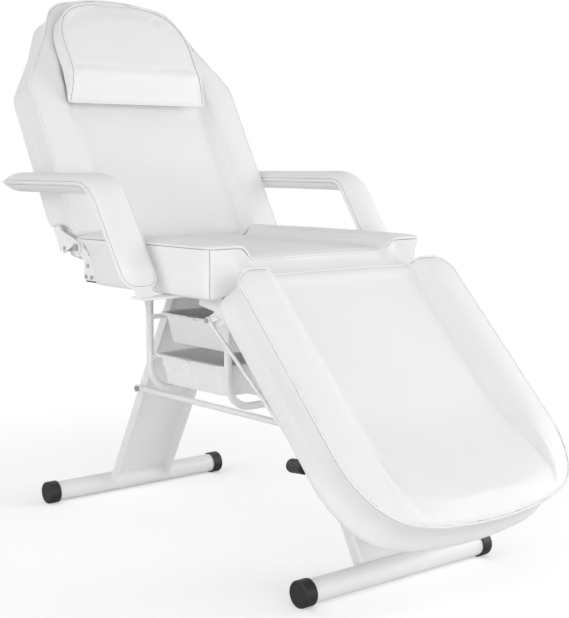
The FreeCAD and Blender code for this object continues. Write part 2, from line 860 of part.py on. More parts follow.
# Leg rest, drawn flat about its pivot and then turned down
leg_outline_shares = [(1.0, 0.0), (1.0, 0.76), (0.915, 0.87), (0.78, 0.94), (0.54, 0.98), (0.0, 1.004)]
leg_reach_shares = [0.09, 0.49, 0.48, 0.48, 0.5, 0.5]
leg_channel_share = 0.8
leg_channel_end_share = 0.17
leg_back = leg_underside
leg_face = leg_underside + leg_thickness


def leg_outline():
    """Plan of the leg rest, its rounded end away from the seat."""
    w = seat_half_width
    right = [(w * a, -leg_start - leg_length * s) for a, s in leg_outline_shares]
    left = [(-x, y) for x, y in reversed(right[:-1])]
    return [Vector(x, y, 0) for x, y in reversed(right + left)]


def leg_radii():
    """Corner radii of the leg rest plan: each arc takes a share of the shorter run beside it."""
    points = leg_outline()
    shares = list(reversed(leg_reach_shares + list(reversed(leg_reach_shares[:-1]))))
    radii = []
    for i, corner in enumerate(points):
        into = points[i - 1].sub(corner)
        away = points[(i + 1) % len(points)].sub(corner)
        reach = shares[i] * min(into.Length, away.Length)
        radii.append(reach * math.tan(into.getAngle(away) / 2))
    return radii


def leg_cushion():
    """The leg pad, with a pocket for its board."""
    levels = cushion_levels(leg_back, leg_face)
    pad = stack([leg_outline()] * len(levels), leg_radii(), levels)
    deep_end = -leg_start - leg_length * leg_channel_share
    pad = pad.cut(channel(deep_end, overrun, leg_face))
    pad = pad.cut(channel_end(deep_end, deep_end - leg_length * leg_channel_end_share, leg_face))
    pad = pad.cut(leg_board_blank(clearance))
    notch = across_rod(leg_plate_out - plate_thickness * 3, leg_plate_out + plate_thickness * 2, 0, 0,
                       leg_eye + edge_soft)
    return pad.cut(notch).cut(mirror(notch))


def leg_board_blank(grow):
    """Plywood under the leg pad, or the pocket for it."""
    outline = inset(leg_outline(), skirt - grow)
    radii = [r - s * (skirt - grow) for r, s in zip(leg_radii(), turns(leg_outline()))]
    top = leg_back + board_thickness + grow
    low = leg_back - (overrun if grow else 0)
    return Part.Face(rounded(raised(outline, low), radii)).extrude(Vector(0, 0, top - low))


# Leg-rest hinge: fixed plates under the seat front, arms under the leg board
leg_plate_gap = 43.0
leg_plate_out = seat_half_width - leg_plate_gap
leg_eye = 9.0
leg_pin_radius = 5.0
pin_head_share = 0.8
leg_arm_length = 250.0
leg_arm_web = 16.0
leg_arm_flange = 32.0
leg_arm_sheet = 4.0
leg_ratchet_root = 41.0
leg_ratchet_tip = 45.0
leg_tooth_start = 247.0
leg_tooth_pitch = 6.0
leg_tooth_count = 12
leg_foot_rear = 165.0
leg_foot_width = 18.0
leg_pawl_y = 6.0
leg_pawl_z = -72.0
leg_pawl_tip_y = -12.0
leg_pawl_tip_z = -44.2
leg_pawl_lobe = 11.0


def leg_fixed_plate():
    """Right hinge plate: eye in front and a flange screwed to the seat."""
    x0 = leg_plate_out
    x1 = leg_plate_out + plate_thickness
    y, z = -leg_pivot_y, leg_pivot_z
    web = plate([(y, z - leg_eye), (-leg_foot_rear, seat_bottom - leg_foot_width),
                 (-leg_foot_rear, seat_bottom), (y + leg_eye, seat_bottom), (y, z + leg_eye)],
                [edge_soft] * 5, x0, x1)
    eye = across_rod(x0, x1, y, z, leg_eye)
    foot = box(x0 - leg_arm_flange, x0, -seat_front + board_front_margin, -leg_foot_rear,
               seat_bottom - leg_arm_sheet, seat_bottom)
    whole = web.fuse([eye, foot])
    above = box(x0 - leg_arm_flange, x1 + overrun, -seat_front + edge_soft, 0,
                seat_bottom, seat_bottom + overrun)
    whole = whole.cut(above)
    return whole.cut(across_rod(x0 - overrun, x1 + overrun, y, z, leg_pin_radius + pin_play))


def leg_toothed_plate():
    """Left hinge plate: the same, with a toothed quadrant for the pawl."""
    x0 = leg_plate_out
    x1 = leg_plate_out + plate_thickness
    y, z = -leg_pivot_y, leg_pivot_z
    points = []
    for i in range(leg_tooth_count):
        low = math.radians(leg_tooth_start + leg_tooth_pitch * i)
        high = math.radians(leg_tooth_start + leg_tooth_pitch * (i + 1))
        for radius, angle in ((leg_ratchet_tip, low), (leg_ratchet_root, high)):
            points.append(Vector(x0, y + radius * math.cos(angle), z + radius * math.sin(angle)))
    points.append(Vector(x0, -leg_foot_rear, seat_bottom - leg_foot_width))
    points.append(Vector(x0, -leg_foot_rear, seat_bottom - leg_arm_sheet))
    points.append(Vector(x0, y, z))
    quadrant = Part.Face(Part.makePolygon(points + points[:1])).extrude(Vector(x1 - x0, 0, 0))
    plain = leg_fixed_plate()
    bore = across_rod(x0 - overrun, x1 + overrun, y, z, leg_pin_radius + pin_play)
    return mirror(plain.fuse(quadrant).cut(bore))


def leg_arm(side):
    """Hinge arm under the leg board; the left one also carries the pawl."""
    x1 = leg_plate_out - clearance * 2
    x0 = x1 - leg_arm_sheet
    top = leg_back
    web = plate([(0, -leg_eye), (-leg_arm_length, top - leg_arm_web), (-leg_arm_length, top), (0, top)],
                [edge_soft] * 4, x0, x1)
    eye = across_rod(x0, x1, 0, 0, leg_eye)
    flange = box(x1 - leg_arm_flange, x1, -leg_arm_length, -skirt - leg_eye, top - leg_arm_sheet, top)
    arm = web.fuse([eye, flange])
    if side < 0:
        lobe = across_rod(x0, x1, leg_pawl_y, leg_pawl_z, leg_pawl_lobe)
        corner = leg_pawl_lobe * nose_share
        horn = plate([(-leg_eye * 5, -leg_eye / 2), (-leg_eye, leg_pawl_z - corner),
                      (leg_pawl_y + corner, leg_pawl_z - corner),
                      (leg_pawl_y + corner, leg_pawl_z + corner), (leg_eye * nose_share, 0)],
                     [edge_soft] * 5, x0, x1)
        arm = arm.fuse([horn, lobe])
        arm = arm.cut(across_rod(x0 - overrun, x1 + overrun, leg_pawl_y, leg_pawl_z, pawl_pin_radius))
    arm = arm.cut(across_rod(x0 - overrun, x1 + overrun, 0, 0, leg_pin_radius + pin_play))
    return mirror(arm) if side < 0 else arm


def leg_pin(side):
    """Hinge pin of the leg rest with a head on each end."""
    x0 = leg_plate_out - clearance * 3 - leg_arm_sheet
    x1 = leg_plate_out + plate_thickness + clearance
    y, z = -leg_pivot_y, leg_pivot_z
    head = leg_eye * pin_head_share
    pin = across_rod(x0 - leg_arm_sheet, x1 + leg_arm_sheet, y, z, leg_pin_radius)
    inner = across_rod(x0 - leg_arm_sheet, x0, y, z, head)
    outer = across_rod(x1, x1 + leg_arm_sheet, y, z, head)
    pin = pin.fuse([inner, outer])
    return mirror(pin) if side < 0 else pin


# Release lever: pawl, long rod and rubber grip under the left of the leg rest
lever_radius = 4.0
lever_outset = 7.0
lever_x = leg_plate_out + lever_outset
lever_bend_y = -394.0
lever_bend_z = -12.0
lever_end_in = 22.0
lever_end_y = -350.3
lever_end_z = -77.0
lever_bend_radius = 5.0
grip_radius = 14.0
grip_length = 59.0
grip_round = 3.0


def release_lever():
    """Bent steel rod welded to the pawl of the leg rest."""
    x = -lever_x
    hub = Vector(x, leg_pawl_y, leg_pawl_z)
    bend = Vector(x, lever_bend_y, lever_bend_z)
    end = Vector(x + lever_end_in, lever_end_y, lever_end_z)
    start, middle, finish = corner_arc(hub, bend, end, lever_bend_radius)
    path = Part.Wire([Part.LineSegment(hub, start).toShape(), Part.Arc(start, middle, finish).toShape(),
                      Part.LineSegment(finish, end).toShape()])
    circle = Part.Circle(hub, start.sub(hub).normalize(), lever_radius)
    bar = path.makePipeShell([Part.Wire([circle.toShape()])], True, False)
    x0 = -leg_plate_out - clearance - pawl_thickness
    blade = pawl(x0, x0 + pawl_thickness, (leg_pawl_y, leg_pawl_z), (leg_pawl_tip_y, leg_pawl_tip_z),
                 pawl_hub, pawl_pin_radius)
    bar = bar.cut(across_rod(x - overrun, x + overrun, leg_pawl_y, leg_pawl_z, pawl_hub * pawl_root_share))
    bar = max(bar.Solids, key=lambda s: s.Volume)
    hub_ring = across_ring(x - lever_radius, x0, leg_pawl_y, leg_pawl_z, pawl_hub,
                           pawl_pin_radius + pin_play)
    return bar.fuse([hub_ring, blade])


def lever_grip():
    """Black rubber grip pushed over the end of the lever."""
    end = Vector(lever_end_in - lever_x, lever_end_y, lever_end_z)
    bend = Vector(-lever_x, lever_bend_y, lever_bend_z)
    inward = bend.sub(end).normalize()
    start = end.add(Vector(inward).multiply(grip_length))
    closed_end = end.sub(Vector(inward).multiply(grip_round))
    grip = rod(start, closed_end, grip_radius)
    grip = grip.makeFillet(grip_round, [e for e in grip.Edges if e.Closed])
    return grip.cut(rod(start.add(inward), end, lever_radius + pin_play))


def leg_pawl_pin():
    """Rivet that carries the lever on the left hinge arm."""
    x0 = leg_plate_out - clearance * 3 - leg_arm_sheet
    x1 = lever_x + lever_radius + clearance
    pin = across_rod(x0 - pawl_pin_radius, x1 + pawl_pin_radius, leg_pawl_y, leg_pawl_z, pawl_pin_radius)
    head = pawl_pin_radius * rivet_head_share
    inner = across_rod(x0 - pawl_pin_radius, x0 + clearance, leg_pawl_y, leg_pawl_z, head)
    outer = across_rod(x1, x1 + pawl_pin_radius, leg_pawl_y, leg_pawl_z, pawl_pin_radius * rivet_head_share)
    return mirror(pin.fuse([inner, outer]))


# Armrests: a bent steel bar from under the seat inside a bent pad
arm_gap = 12.0
armrest_width = 88.0
arm_inner = seat_half_width + arm_gap
arm_outer = arm_inner + armrest_width
arm_height = 807.0
arm_rear = 443.0
arm_bend_y = 45.5
arm_foot_y = -108.4
arm_low_z = 594.0
arm_lean = (arm_bend_y - arm_foot_y) / (arm_height - seat_bottom)
arm_low_y = arm_bend_y - arm_lean * (arm_height - arm_low_z)
arm_bend_radius = 95.0
arm_half_thickness = 23.5
arm_tip_share = 1.8
arm_edge_share = 0.2
arm_shape_shares = [(0.0, 0.22, 0.36), (0.05, 0.5, 0.2), (0.16, 0.8, 0.07), (0.5, 1.0, 0.0),
                    (0.84, 0.8, 0.07), (0.95, 0.5, 0.2), (1.0, 0.22, 0.36)]
core_half_width = 20.0
core_half_thickness = 3.0
core_rear = 270.0
bracket_half = 25.0
bracket_reach = 95.0
bracket_inner = seat_half_width - bracket_reach


def arm_wire(x, half, short):
    """Side outline of the armrest pad at one place across."""
    slope = Vector(0, arm_low_y - arm_bend_y, arm_low_z - arm_height).normalize()
    tip = half * arm_tip_share
    rear = Vector(x, arm_rear - short - tip, arm_height)
    corner = Vector(x, arm_bend_y, arm_height)
    low = Vector(x, arm_low_y, arm_low_z).sub(Vector(slope).multiply(short + tip))
    normal = Vector(0, -slope.z, slope.y)
    bisector = Vector(0, 0, -1).add(normal).normalize()
    reach = half / bisector.dot(Vector(0, 0, -1))
    top = [rear.add(Vector(0, 0, half)), corner.sub(Vector(bisector).multiply(reach)),
           low.sub(Vector(normal).multiply(half))]
    bottom = [low.add(Vector(normal).multiply(half)), corner.add(Vector(bisector).multiply(reach)),
              rear.sub(Vector(0, 0, half))]
    outer_bend = corner_arc(top[0], top[1], top[2], arm_bend_radius + half)
    inner_bend = corner_arc(bottom[0], bottom[1], bottom[2], arm_bend_radius - half)
    low_tip = low.add(Vector(slope).multiply(tip))
    rear_tip = rear.add(Vector(0, tip, 0))
    tip_radius = half * (arm_tip_share ** 2 + 1) / 2
    half_turn = math.asin(tip / tip_radius) / 2
    along = tip_radius * math.sin(half_turn)
    aside = half - tip_radius * (1 - math.cos(half_turn))
    low_a = low.add(Vector(slope).multiply(along)).sub(Vector(normal).multiply(aside))
    low_b = low.add(Vector(slope).multiply(along)).add(Vector(normal).multiply(aside))
    rear_a = rear.add(Vector(0, along, -aside))
    rear_b = rear.add(Vector(0, along, aside))
    edges = [
        Part.LineSegment(top[0], outer_bend[0]).toShape(),
        Part.Arc(outer_bend[0], outer_bend[1], outer_bend[2]).toShape(),
        Part.LineSegment(outer_bend[2], top[2]).toShape(),
        Part.Arc(top[2], low_a, low_tip).toShape(),
        Part.Arc(low_tip, low_b, bottom[0]).toShape(),
        Part.LineSegment(bottom[0], inner_bend[0]).toShape(),
        Part.Arc(inner_bend[0], inner_bend[1], inner_bend[2]).toShape(),
        Part.LineSegment(inner_bend[2], bottom[2]).toShape(),
        Part.Arc(bottom[2], rear_a, rear_tip).toShape(),
        Part.Arc(rear_tip, rear_b, top[0]).toShape(),
    ]
    return Part.Wire(edges)


def arm_core(grow):
    """The flat bar inside the pad, from its lower end to past the bend."""
    x0 = (arm_inner + arm_outer) / 2 - core_half_width - grow
    x1 = (arm_inner + arm_outer) / 2 + core_half_width + grow
    half = core_half_thickness + grow
    slope = Vector(0, arm_low_y - arm_bend_y, arm_low_z - arm_height).normalize()
    normal = Vector(0, -slope.z, slope.y)
    drop = (arm_low_z - seat_bottom) / -slope.z
    low = Vector(x0, arm_low_y, arm_low_z).add(Vector(slope).multiply(drop + half))
    rear = Vector(x0, core_rear + grow, arm_height)
    corner = Vector(x0, arm_bend_y, arm_height)
    bisector = Vector(0, 0, -1).add(normal).normalize()
    reach = half / bisector.dot(Vector(0, 0, -1))
    points = [rear.add(Vector(0, 0, half)), corner.sub(Vector(bisector).multiply(reach)),
              low.sub(Vector(normal).multiply(half)), low.add(Vector(normal).multiply(half)),
              corner.add(Vector(bisector).multiply(reach)), rear.sub(Vector(0, 0, half))]
    radii = [half / 4, arm_bend_radius + half, half / 4, half / 4, arm_bend_radius - half, half / 4]
    face = Part.Face(rounded(points, radii))
    return face.extrude(Vector(x1 - x0, 0, 0))


def armrest_pad():
    """Right armrest pad, crowned above and below its piping."""
    span = arm_outer - arm_inner
    wires = []
    for across, thick, short in arm_shape_shares:
        wires.append(arm_wire(arm_inner + span * across, arm_half_thickness * thick, span * short))
    pad = Part.makeLoft(wires, True, True)
    return pad.cut(arm_core(clearance))


def armrest_frame():
    """Right armrest bar, welded to a foot plate under the seat."""
    core = arm_core(0)
    low = seat_bottom - plate_thickness
    core = core.cut(box(arm_inner - overrun, arm_outer + overrun, arm_low_y - overrun * 3,
                        arm_low_y + overrun * 3, low - overrun, seat_bottom))
    foot_y = arm_foot_y
    end = (arm_inner + arm_outer) / 2 + core_half_width
    foot = plate([(foot_y - bracket_half, low), (foot_y + bracket_half, low),
                  (foot_y + bracket_half, seat_bottom), (foot_y - bracket_half, seat_bottom)],
                 [edge_soft / 2] * 4, bracket_inner, end)
    return core.fuse(foot).removeSplitter()


# Screws that hold the frame, hinge plates and arms to the boards
screw_radius = 2.5
screw_head = 5.0
screw_head_height = 2.2
screw_bite = 11.0


def screw(place, direction, length):
    """A pan-head screw: its head outside the place, its shank inwards."""
    head = Part.makeCylinder(screw_head, screw_head_height, place, Vector(direction).multiply(-1))
    shank = Part.makeCylinder(screw_radius, length, place, direction)
    return head.fuse(shank)


def screws(places, direction, length):
    """A group of the same screws."""
    return Part.makeCompound([screw(place, direction, length) for place in places])


def drilled(shape, places, direction, length):
    """The shape with a hole for each screw, and for its head if it is sunk."""
    for place in places:
        shape = shape.cut(Part.makeCylinder(screw_radius + pin_play, length + clearance, place, direction))
        shape = shape.cut(Part.makeCylinder(screw_head + clearance, screw_head_height + clearance, place,
                                            Vector(direction).multiply(-1)))
    return shape


def on_both_sides(places):
    """The same places on both sides of the chair."""
    return places + [Vector(-p.x, p.y, p.z) for p in places]


frame_screw_shares = (-0.85, -0.13, 0.51)
arm_screw_shares = (0.25, 0.55, 0.85)
frame_screw_places = on_both_sides(
    [Vector(rail_x, rail_half_length * share, frame_bottom) for share in frame_screw_shares])
frame_screw_length = frame_rail + screw_bite
armrest_screw_places = on_both_sides(
    [Vector(x, arm_foot_y, seat_bottom - plate_thickness)
     for x in (bracket_inner + bracket_half, board_half - skirt)])
armrest_screw_length = plate_thickness + screw_bite
leg_plate_screw_places = on_both_sides(
    [Vector(leg_plate_out - leg_arm_flange / 2, y, seat_bottom - leg_arm_sheet)
     for y in (-leg_foot_rear - skirt, -leg_foot_rear - skirt * 3)])
leg_plate_screw_length = leg_arm_sheet + screw_bite
side_screw_places = [Vector(board_half + plate_thickness, y, z)
                     for y, z in ((crossbeam_end - skirt / 2, side_plate_low + skirt / 2),
                                  (crossbeam_end - skirt * 2, side_plate_low + skirt / 2),
                                  (crossbeam_end - skirt, side_plate_low + skirt * 2))]
side_screw_length = plate_thickness + screw_bite
leg_arm_screw_places = on_both_sides(
    [Vector(leg_plate_out - leg_arm_flange / 2, -leg_arm_length * share, leg_back - leg_arm_sheet)
     for share in arm_screw_shares])
leg_arm_screw_length = leg_arm_sheet + screw_bite
back_arm_screw_places = [
    Vector(arm_in + plate_thickness, board_low_edge + arm_length * share, back_back + board_thickness / 2)
    for share in arm_screw_shares]
back_arm_screw_length = plate_thickness + screw_bite
INWARDS = Vector(-1, 0, 0)


def both_hands(shape):
    """A right-hand group of pieces together with its mirror image."""
    return Part.makeCompound([shape, mirror(shape)])


# Square plastic plugs in the open ends of the side rails
plug_depth = 12.0
plug_lip = 2.0


def rail_plugs():
    """Four plugs, a lip outside and a stub inside each rail end."""
    plugs = []
    for side in (-1, 1):
        for end in (-1, 1):
            x = side * rail_x
            half = frame_rail / 2
            inner = half - rail_wall - clearance / 2
            face = end * rail_half_length
            lip = sorted((face, face + end * plug_lip))
            stub = sorted((face, face - end * plug_depth))
            middle = (frame_bottom + frame_top) / 2
            outer = box(x - half, x + half, lip[0], lip[1], frame_bottom, frame_top)
            core = box(x - inner, x + inner, stub[0], stub[1], middle - inner, middle + inner)
            plugs.append(outer.fuse(core))
    return Part.makeCompound(plugs)


base_board = drilled(seat_board(), frame_screw_places, UP, frame_screw_length)
base_board = drilled(base_board, armrest_screw_places, UP, armrest_screw_length)
base_board = drilled(base_board, leg_plate_screw_places, UP, leg_plate_screw_length)
for hand in (1, -1):
    hand_places = [Vector(hand * p.x, p.y, p.z) for p in side_screw_places]
    base_board = drilled(base_board, hand_places, Vector(INWARDS).multiply(hand), side_screw_length)
keep("seat_cushion", seat_cushion())
keep("seat_board", base_board)
keep("seat_frame", drilled(seat_frame(), frame_screw_places, UP, frame_screw_length))
keep("seat_frame_screws", screws(frame_screw_places, UP, frame_screw_length))
keep("armrest_screws", screws(armrest_screw_places, UP, armrest_screw_length))
keep("leg_plate_screws", screws(leg_plate_screw_places, UP, leg_plate_screw_length))
keep("side_plate_screws", both_hands(screws(side_screw_places, INWARDS, side_screw_length)))
keep("rail_end_plugs", rail_plugs())
keep("rear_foot_bar", foot_bar(foot_half_gap))
keep("front_foot_bar", foot_bar(-foot_half_gap))
for side, side_name in ((-1, "left"), (1, "right")):
    keep("rear_foot_cap_" + side_name, foot_cap(side, foot_half_gap))
    keep("front_foot_cap_" + side_name, foot_cap(side, -foot_half_gap))
    keep("tie_bar_" + side_name, tie_bar(side))
keep("tie_bolts", tie_bolts())
keep("rear_leg", leg(1))
keep("front_leg", leg(-1))
keep("rear_tray_hoop", hoop(hoop_rear_y))
keep("front_tray_hoop", hoop(hoop_front_y))
keep("hoop_braces", hoop_braces())
keep("tray_rails", tray_rails())
keep("upper_tray", tray(tray_upper_top, tray_offset))
keep("lower_tray", tray(tray_lower_top, tray_offset - tray_shift))


def place_back(shape):
    """Turn a backrest piece up to its rest pose."""
    return turned(shape, back_pivot_y, back_pivot_z, back_angle)


def place_leg(shape):
    """Turn a leg-rest piece down to its rest pose."""
    return turned(shape, -leg_pivot_y, leg_pivot_z, leg_angle)


back_pad = back_cushion()
back_panel = back_board_blank(0)
for hand in (1, -1):
    hand_places = [Vector(hand * p.x, p.y, p.z) for p in back_arm_screw_places]
    toward = Vector(INWARDS).multiply(hand)
    back_pad = drilled(back_pad, hand_places, toward, back_arm_screw_length)
    back_panel = drilled(back_panel, hand_places, toward, back_arm_screw_length)
keep("backrest_cushion", place_back(back_pad))
keep("backrest_board", place_back(back_panel))
back_arm_screws = both_hands(screws(back_arm_screw_places, INWARDS, back_arm_screw_length))
keep("backrest_arm_screws", place_back(back_arm_screws))
keep("pillow_tape_hooks", place_back(pillow_tapes(0)))
keep("pillow_tape_loops", place_back(pillow_tapes(1)))
keep("head_pillow", place_back(pillow()))
back_arm_drilled = drilled(back_arm(), back_arm_screw_places, INWARDS, back_arm_screw_length)
for side, side_name in ((-1, "left"), (1, "right")):
    handed = {
        "seat_hinge_plate_": drilled(side_plate(), side_screw_places, INWARDS, side_screw_length),
        "backrest_hinge_bolt_": back_bolt(),
        "backrest_arm_": place_back(back_arm_drilled),
        "backrest_pawl_": place_back(back_pawl()),
        "backrest_pawl_pin_": place_back(back_pawl_pin()),
        "armrest_pad_": armrest_pad(),
        "armrest_frame_": drilled(armrest_frame(), armrest_screw_places, UP, armrest_screw_length),
    }
    for name, shape in handed.items():
        keep(name + side_name, mirror(shape) if side < 0 else shape)

keep("leg_cushion", place_leg(leg_cushion()))
keep("leg_board", place_leg(drilled(leg_board_blank(0), leg_arm_screw_places, UP, leg_arm_screw_length)))
for name, hinge_plate in (("leg_hinge_plate_right", leg_fixed_plate()),
                          ("leg_ratchet_plate_left", leg_toothed_plate())):
    keep(name, drilled(hinge_plate, leg_plate_screw_places, UP, leg_plate_screw_length))
keep("leg_arm_screws", place_leg(screws(leg_arm_screw_places, UP, leg_arm_screw_length)))
for side, side_name in ((-1, "left"), (1, "right")):
    arm = drilled(leg_arm(side), leg_arm_screw_places, UP, leg_arm_screw_length)
    keep("leg_arm_" + side_name, place_leg(arm))
    keep("leg_hinge_pin_" + side_name, leg_pin(side))
keep("release_lever", place_leg(release_lever()))
keep("lever_grip", place_leg(lever_grip()))
keep("lever_pin", place_leg(leg_pawl_pin()))
save_all()
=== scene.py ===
import bpy
import math
from mathutils import Matrix, Vector
from mathutils.bvhtree import BVHTree
from mathutils.kdtree import KDTree


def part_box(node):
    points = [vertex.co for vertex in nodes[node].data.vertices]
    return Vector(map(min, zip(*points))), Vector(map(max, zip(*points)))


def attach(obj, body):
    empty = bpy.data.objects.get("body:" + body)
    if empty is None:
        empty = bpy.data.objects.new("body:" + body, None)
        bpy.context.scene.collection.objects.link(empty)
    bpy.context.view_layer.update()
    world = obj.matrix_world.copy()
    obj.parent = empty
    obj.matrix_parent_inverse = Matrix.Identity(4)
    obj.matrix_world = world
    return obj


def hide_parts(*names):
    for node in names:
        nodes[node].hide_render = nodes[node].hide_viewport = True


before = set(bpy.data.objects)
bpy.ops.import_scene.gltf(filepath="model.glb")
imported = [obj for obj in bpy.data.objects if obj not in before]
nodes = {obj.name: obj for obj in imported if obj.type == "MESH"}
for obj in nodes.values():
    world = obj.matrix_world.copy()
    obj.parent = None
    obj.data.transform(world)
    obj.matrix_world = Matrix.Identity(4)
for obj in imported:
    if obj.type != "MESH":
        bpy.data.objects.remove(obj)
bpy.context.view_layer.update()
scene = bpy.context.scene
scene.view_settings.view_transform = "Standard"


# Studio: the chair stands on a pale floor in front of a white wall.
# Four softboxes round its front and an even, weaker room light leave
# the tops of the white vinyl darker than its upright faces.
def linear(code):
    """sRGB hex to the linear colour that a shader takes."""
    channels = [int(code[i:i + 2], 16) / 255 for i in (1, 3, 5)]
    return [c / 12.92 if c <= 0.04045 else ((c + 0.055) / 1.055) ** 2.4 for c in channels] + [1.0]


def add(tree, kind, settings=None, links=None):
    """Adds one node; an input takes a value or another node's socket."""
    made = tree.nodes.new(kind)
    for name, value in (settings or {}).items():
        setattr(made, name, value)
    for name, value in (links or {}).items():
        if isinstance(value, bpy.types.NodeSocket):
            tree.links.new(value, made.inputs[name])
        else:
            made.inputs[name].default_value = value
    return made


def new_material(name):
    """A new material and its empty node tree."""
    material = bpy.data.materials.new(name)
    material.use_nodes = True
    material.node_tree.nodes.clear()
    return material, material.node_tree


def middle(name):
    """Middle of a CAD node's box."""
    low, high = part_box(name)
    return (Vector(low) + Vector(high)) / 2


FEET_Y = (middle("rear_foot_bar").y + middle("front_foot_bar").y) / 2
FLOOR_SIZE = 14.0
FLOOR_GLOW = 0.36
FADE_START = 0.8
FADE_END = 1.7
ROOM_LIGHT = 0.49
WHITE_ROOM = 1.0
CAMERA_PLACE = (-1.784, -2.2685 + FEET_Y, 0.8556)
CAMERA_YAW = 39.795
CAMERA_PITCH = 6.7045

camera_data = bpy.data.cameras.new("photo_camera")
camera_data.lens = 73.34
camera_data.sensor_width = 36.0
camera_data.clip_end = 60.0
camera = bpy.data.objects.new("photo_camera", camera_data)
camera.location = CAMERA_PLACE
yaw, pitch = math.radians(CAMERA_YAW), math.radians(CAMERA_PITCH)
aim = Vector((math.sin(yaw) * math.cos(pitch), math.cos(yaw) * math.cos(pitch), -math.sin(pitch)))
camera.rotation_euler = aim.to_track_quat("-Z", "Y").to_euler()
scene.collection.objects.link(camera)
scene.camera = camera

world = bpy.data.worlds.new("white_room")
scene.world = world
world.use_nodes = True
world.node_tree.nodes.clear()
tree = world.node_tree
paths = add(tree, "ShaderNodeLightPath")
seen = add(tree, "ShaderNodeMath", {"operation": "MAXIMUM"},
           {0: paths.outputs["Is Camera Ray"], 1: paths.outputs["Is Transmission Ray"]})
seen = add(tree, "ShaderNodeMath", {"operation": "MAXIMUM"},
           {0: seen.outputs[0], 1: paths.outputs["Is Glossy Ray"]})
strength = add(tree, "ShaderNodeMapRange", {},
               {"Value": seen.outputs[0], "To Min": ROOM_LIGHT, "To Max": WHITE_ROOM})
room = add(tree, "ShaderNodeBackground", {}, {"Color": linear("#ffffff"), "Strength": strength.outputs[0]})
add(tree, "ShaderNodeOutputWorld", {}, {"Surface": room.outputs[0]})

floor_mesh = bpy.data.meshes.new("studio_floor")
half = FLOOR_SIZE / 2
floor_mesh.from_pydata([(-half, -half, 0), (half, -half, 0), (half, half, 0), (-half, half, 0)], [],
                       [(0, 1, 2, 3)])
floor = bpy.data.objects.new("studio_floor", floor_mesh)
scene.collection.objects.link(floor)
floor_material, tree = new_material("matt_white_floor_paper")
paper = add(tree, "ShaderNodeBsdfDiffuse", {}, {"Color": linear("#f4f4f4")})
sight = add(tree, "ShaderNodeLightPath")
glow = add(tree, "ShaderNodeMath", {"operation": "MULTIPLY"},
           {0: sight.outputs["Is Camera Ray"], 1: FLOOR_GLOW})
lamp = add(tree, "ShaderNodeEmission", {}, {"Color": linear("#ffffff"), "Strength": glow.outputs[0]})
both = add(tree, "ShaderNodeAddShader", {}, {0: paper.outputs[0], 1: lamp.outputs[0]})
spot = add(tree, "ShaderNodeTexCoord")
far = add(tree, "ShaderNodeVectorMath", {"operation": "LENGTH"}, {0: spot.outputs["Object"]})
fade = add(tree, "ShaderNodeMapRange", {"interpolation_type": "SMOOTHSTEP"},
           {"Value": far.outputs["Value"], "From Min": FADE_START, "From Max": FADE_END})
share = add(tree, "ShaderNodeMath", {"operation": "MULTIPLY"},
            {0: sight.outputs["Is Camera Ray"], 1: fade.outputs[0]})
white = add(tree, "ShaderNodeEmission", {}, {"Color": linear("#ffffff"), "Strength": WHITE_ROOM})
ground = add(tree, "ShaderNodeMixShader", {}, {0: share.outputs[0], 1: both.outputs[0], 2: white.outputs[0]})
add(tree, "ShaderNodeOutputMaterial", {}, {"Surface": ground.outputs[0]})
floor_mesh.materials.append(floor_material)


def softbox(name, place, target, size, power, spread=180):
    """A square area lamp that faces one point; spread is its beam in degrees."""
    data = bpy.data.lights.new(name, "AREA")
    data.shape = "SQUARE"
    data.size = size
    data.energy = power
    data.spread = math.radians(spread)
    lamp_object = bpy.data.objects.new(name, data)
    lamp_object.location = place
    lamp_object.rotation_euler = (Vector(target) - Vector(place)).to_track_quat("-Z", "Y").to_euler()
    scene.collection.objects.link(lamp_object)


softbox("left_softbox", (-3.9, 0.0, 1.7), (0, 0, 0.7), 2.4, 36)
softbox("front_softbox", (-0.6, -4.6, 1.1), (0, 0, 0.5), 2.8, 53)
softbox("low_softbox", (-2.9, -2.5, 0.2), (-0.1, 0.1, 0.24), 1.2, 1.15, 34)
softbox("right_softbox", (4.0, -2.2, 1.6), (0, 0, 0.5), 2.4, 72)


# Steel base: round foot bars, folded sheet legs, tie bars, the welded
# seat frame, tray hoops and rails, armrest bars and leg-rest arms.
# Mild steel with a satin white powder coat, which has a fine orange peel.
def powder_coat(name, colour, roughness):
    """Baked powder coat: even colour, small dimples and soft gloss."""
    material, tree = new_material(name)
    place = add(tree, "ShaderNodeTexCoord")
    peel = add(tree, "ShaderNodeTexNoise", {},
               {"Vector": place.outputs["Object"], "Scale": 420.0, "Detail": 2.0})
    dirt = add(tree, "ShaderNodeTexNoise", {},
               {"Vector": place.outputs["Object"], "Scale": 9.0, "Detail": 4.0})
    tint = add(tree, "ShaderNodeMixRGB", {"blend_type": "MIX"},
               {0: dirt.outputs["Fac"], 1: linear(colour[0]), 2: linear(colour[1])})
    rough = add(tree, "ShaderNodeMapRange", {},
                {"Value": dirt.outputs["Fac"], "To Min": roughness - 0.05, "To Max": roughness + 0.06})
    bump = add(tree, "ShaderNodeBump", {},
               {"Height": peel.outputs["Fac"], "Strength": 0.12, "Distance": 0.0004})
    shader = add(tree, "ShaderNodeBsdfPrincipled", {},
                 {"Base Color": tint.outputs[0], "Roughness": rough.outputs[0], "Normal": bump.outputs[0],
                  "Coat Weight": 0.15, "Coat Roughness": 0.2, "IOR": 1.5})
    add(tree, "ShaderNodeOutputMaterial", {}, {"Surface": shader.outputs[0]})
    return material


def dress(names, material):
    """Puts one material on CAD nodes that keep their own shape."""
    for name in names:
        nodes[name].data.materials.clear()
        nodes[name].data.materials.append(material)


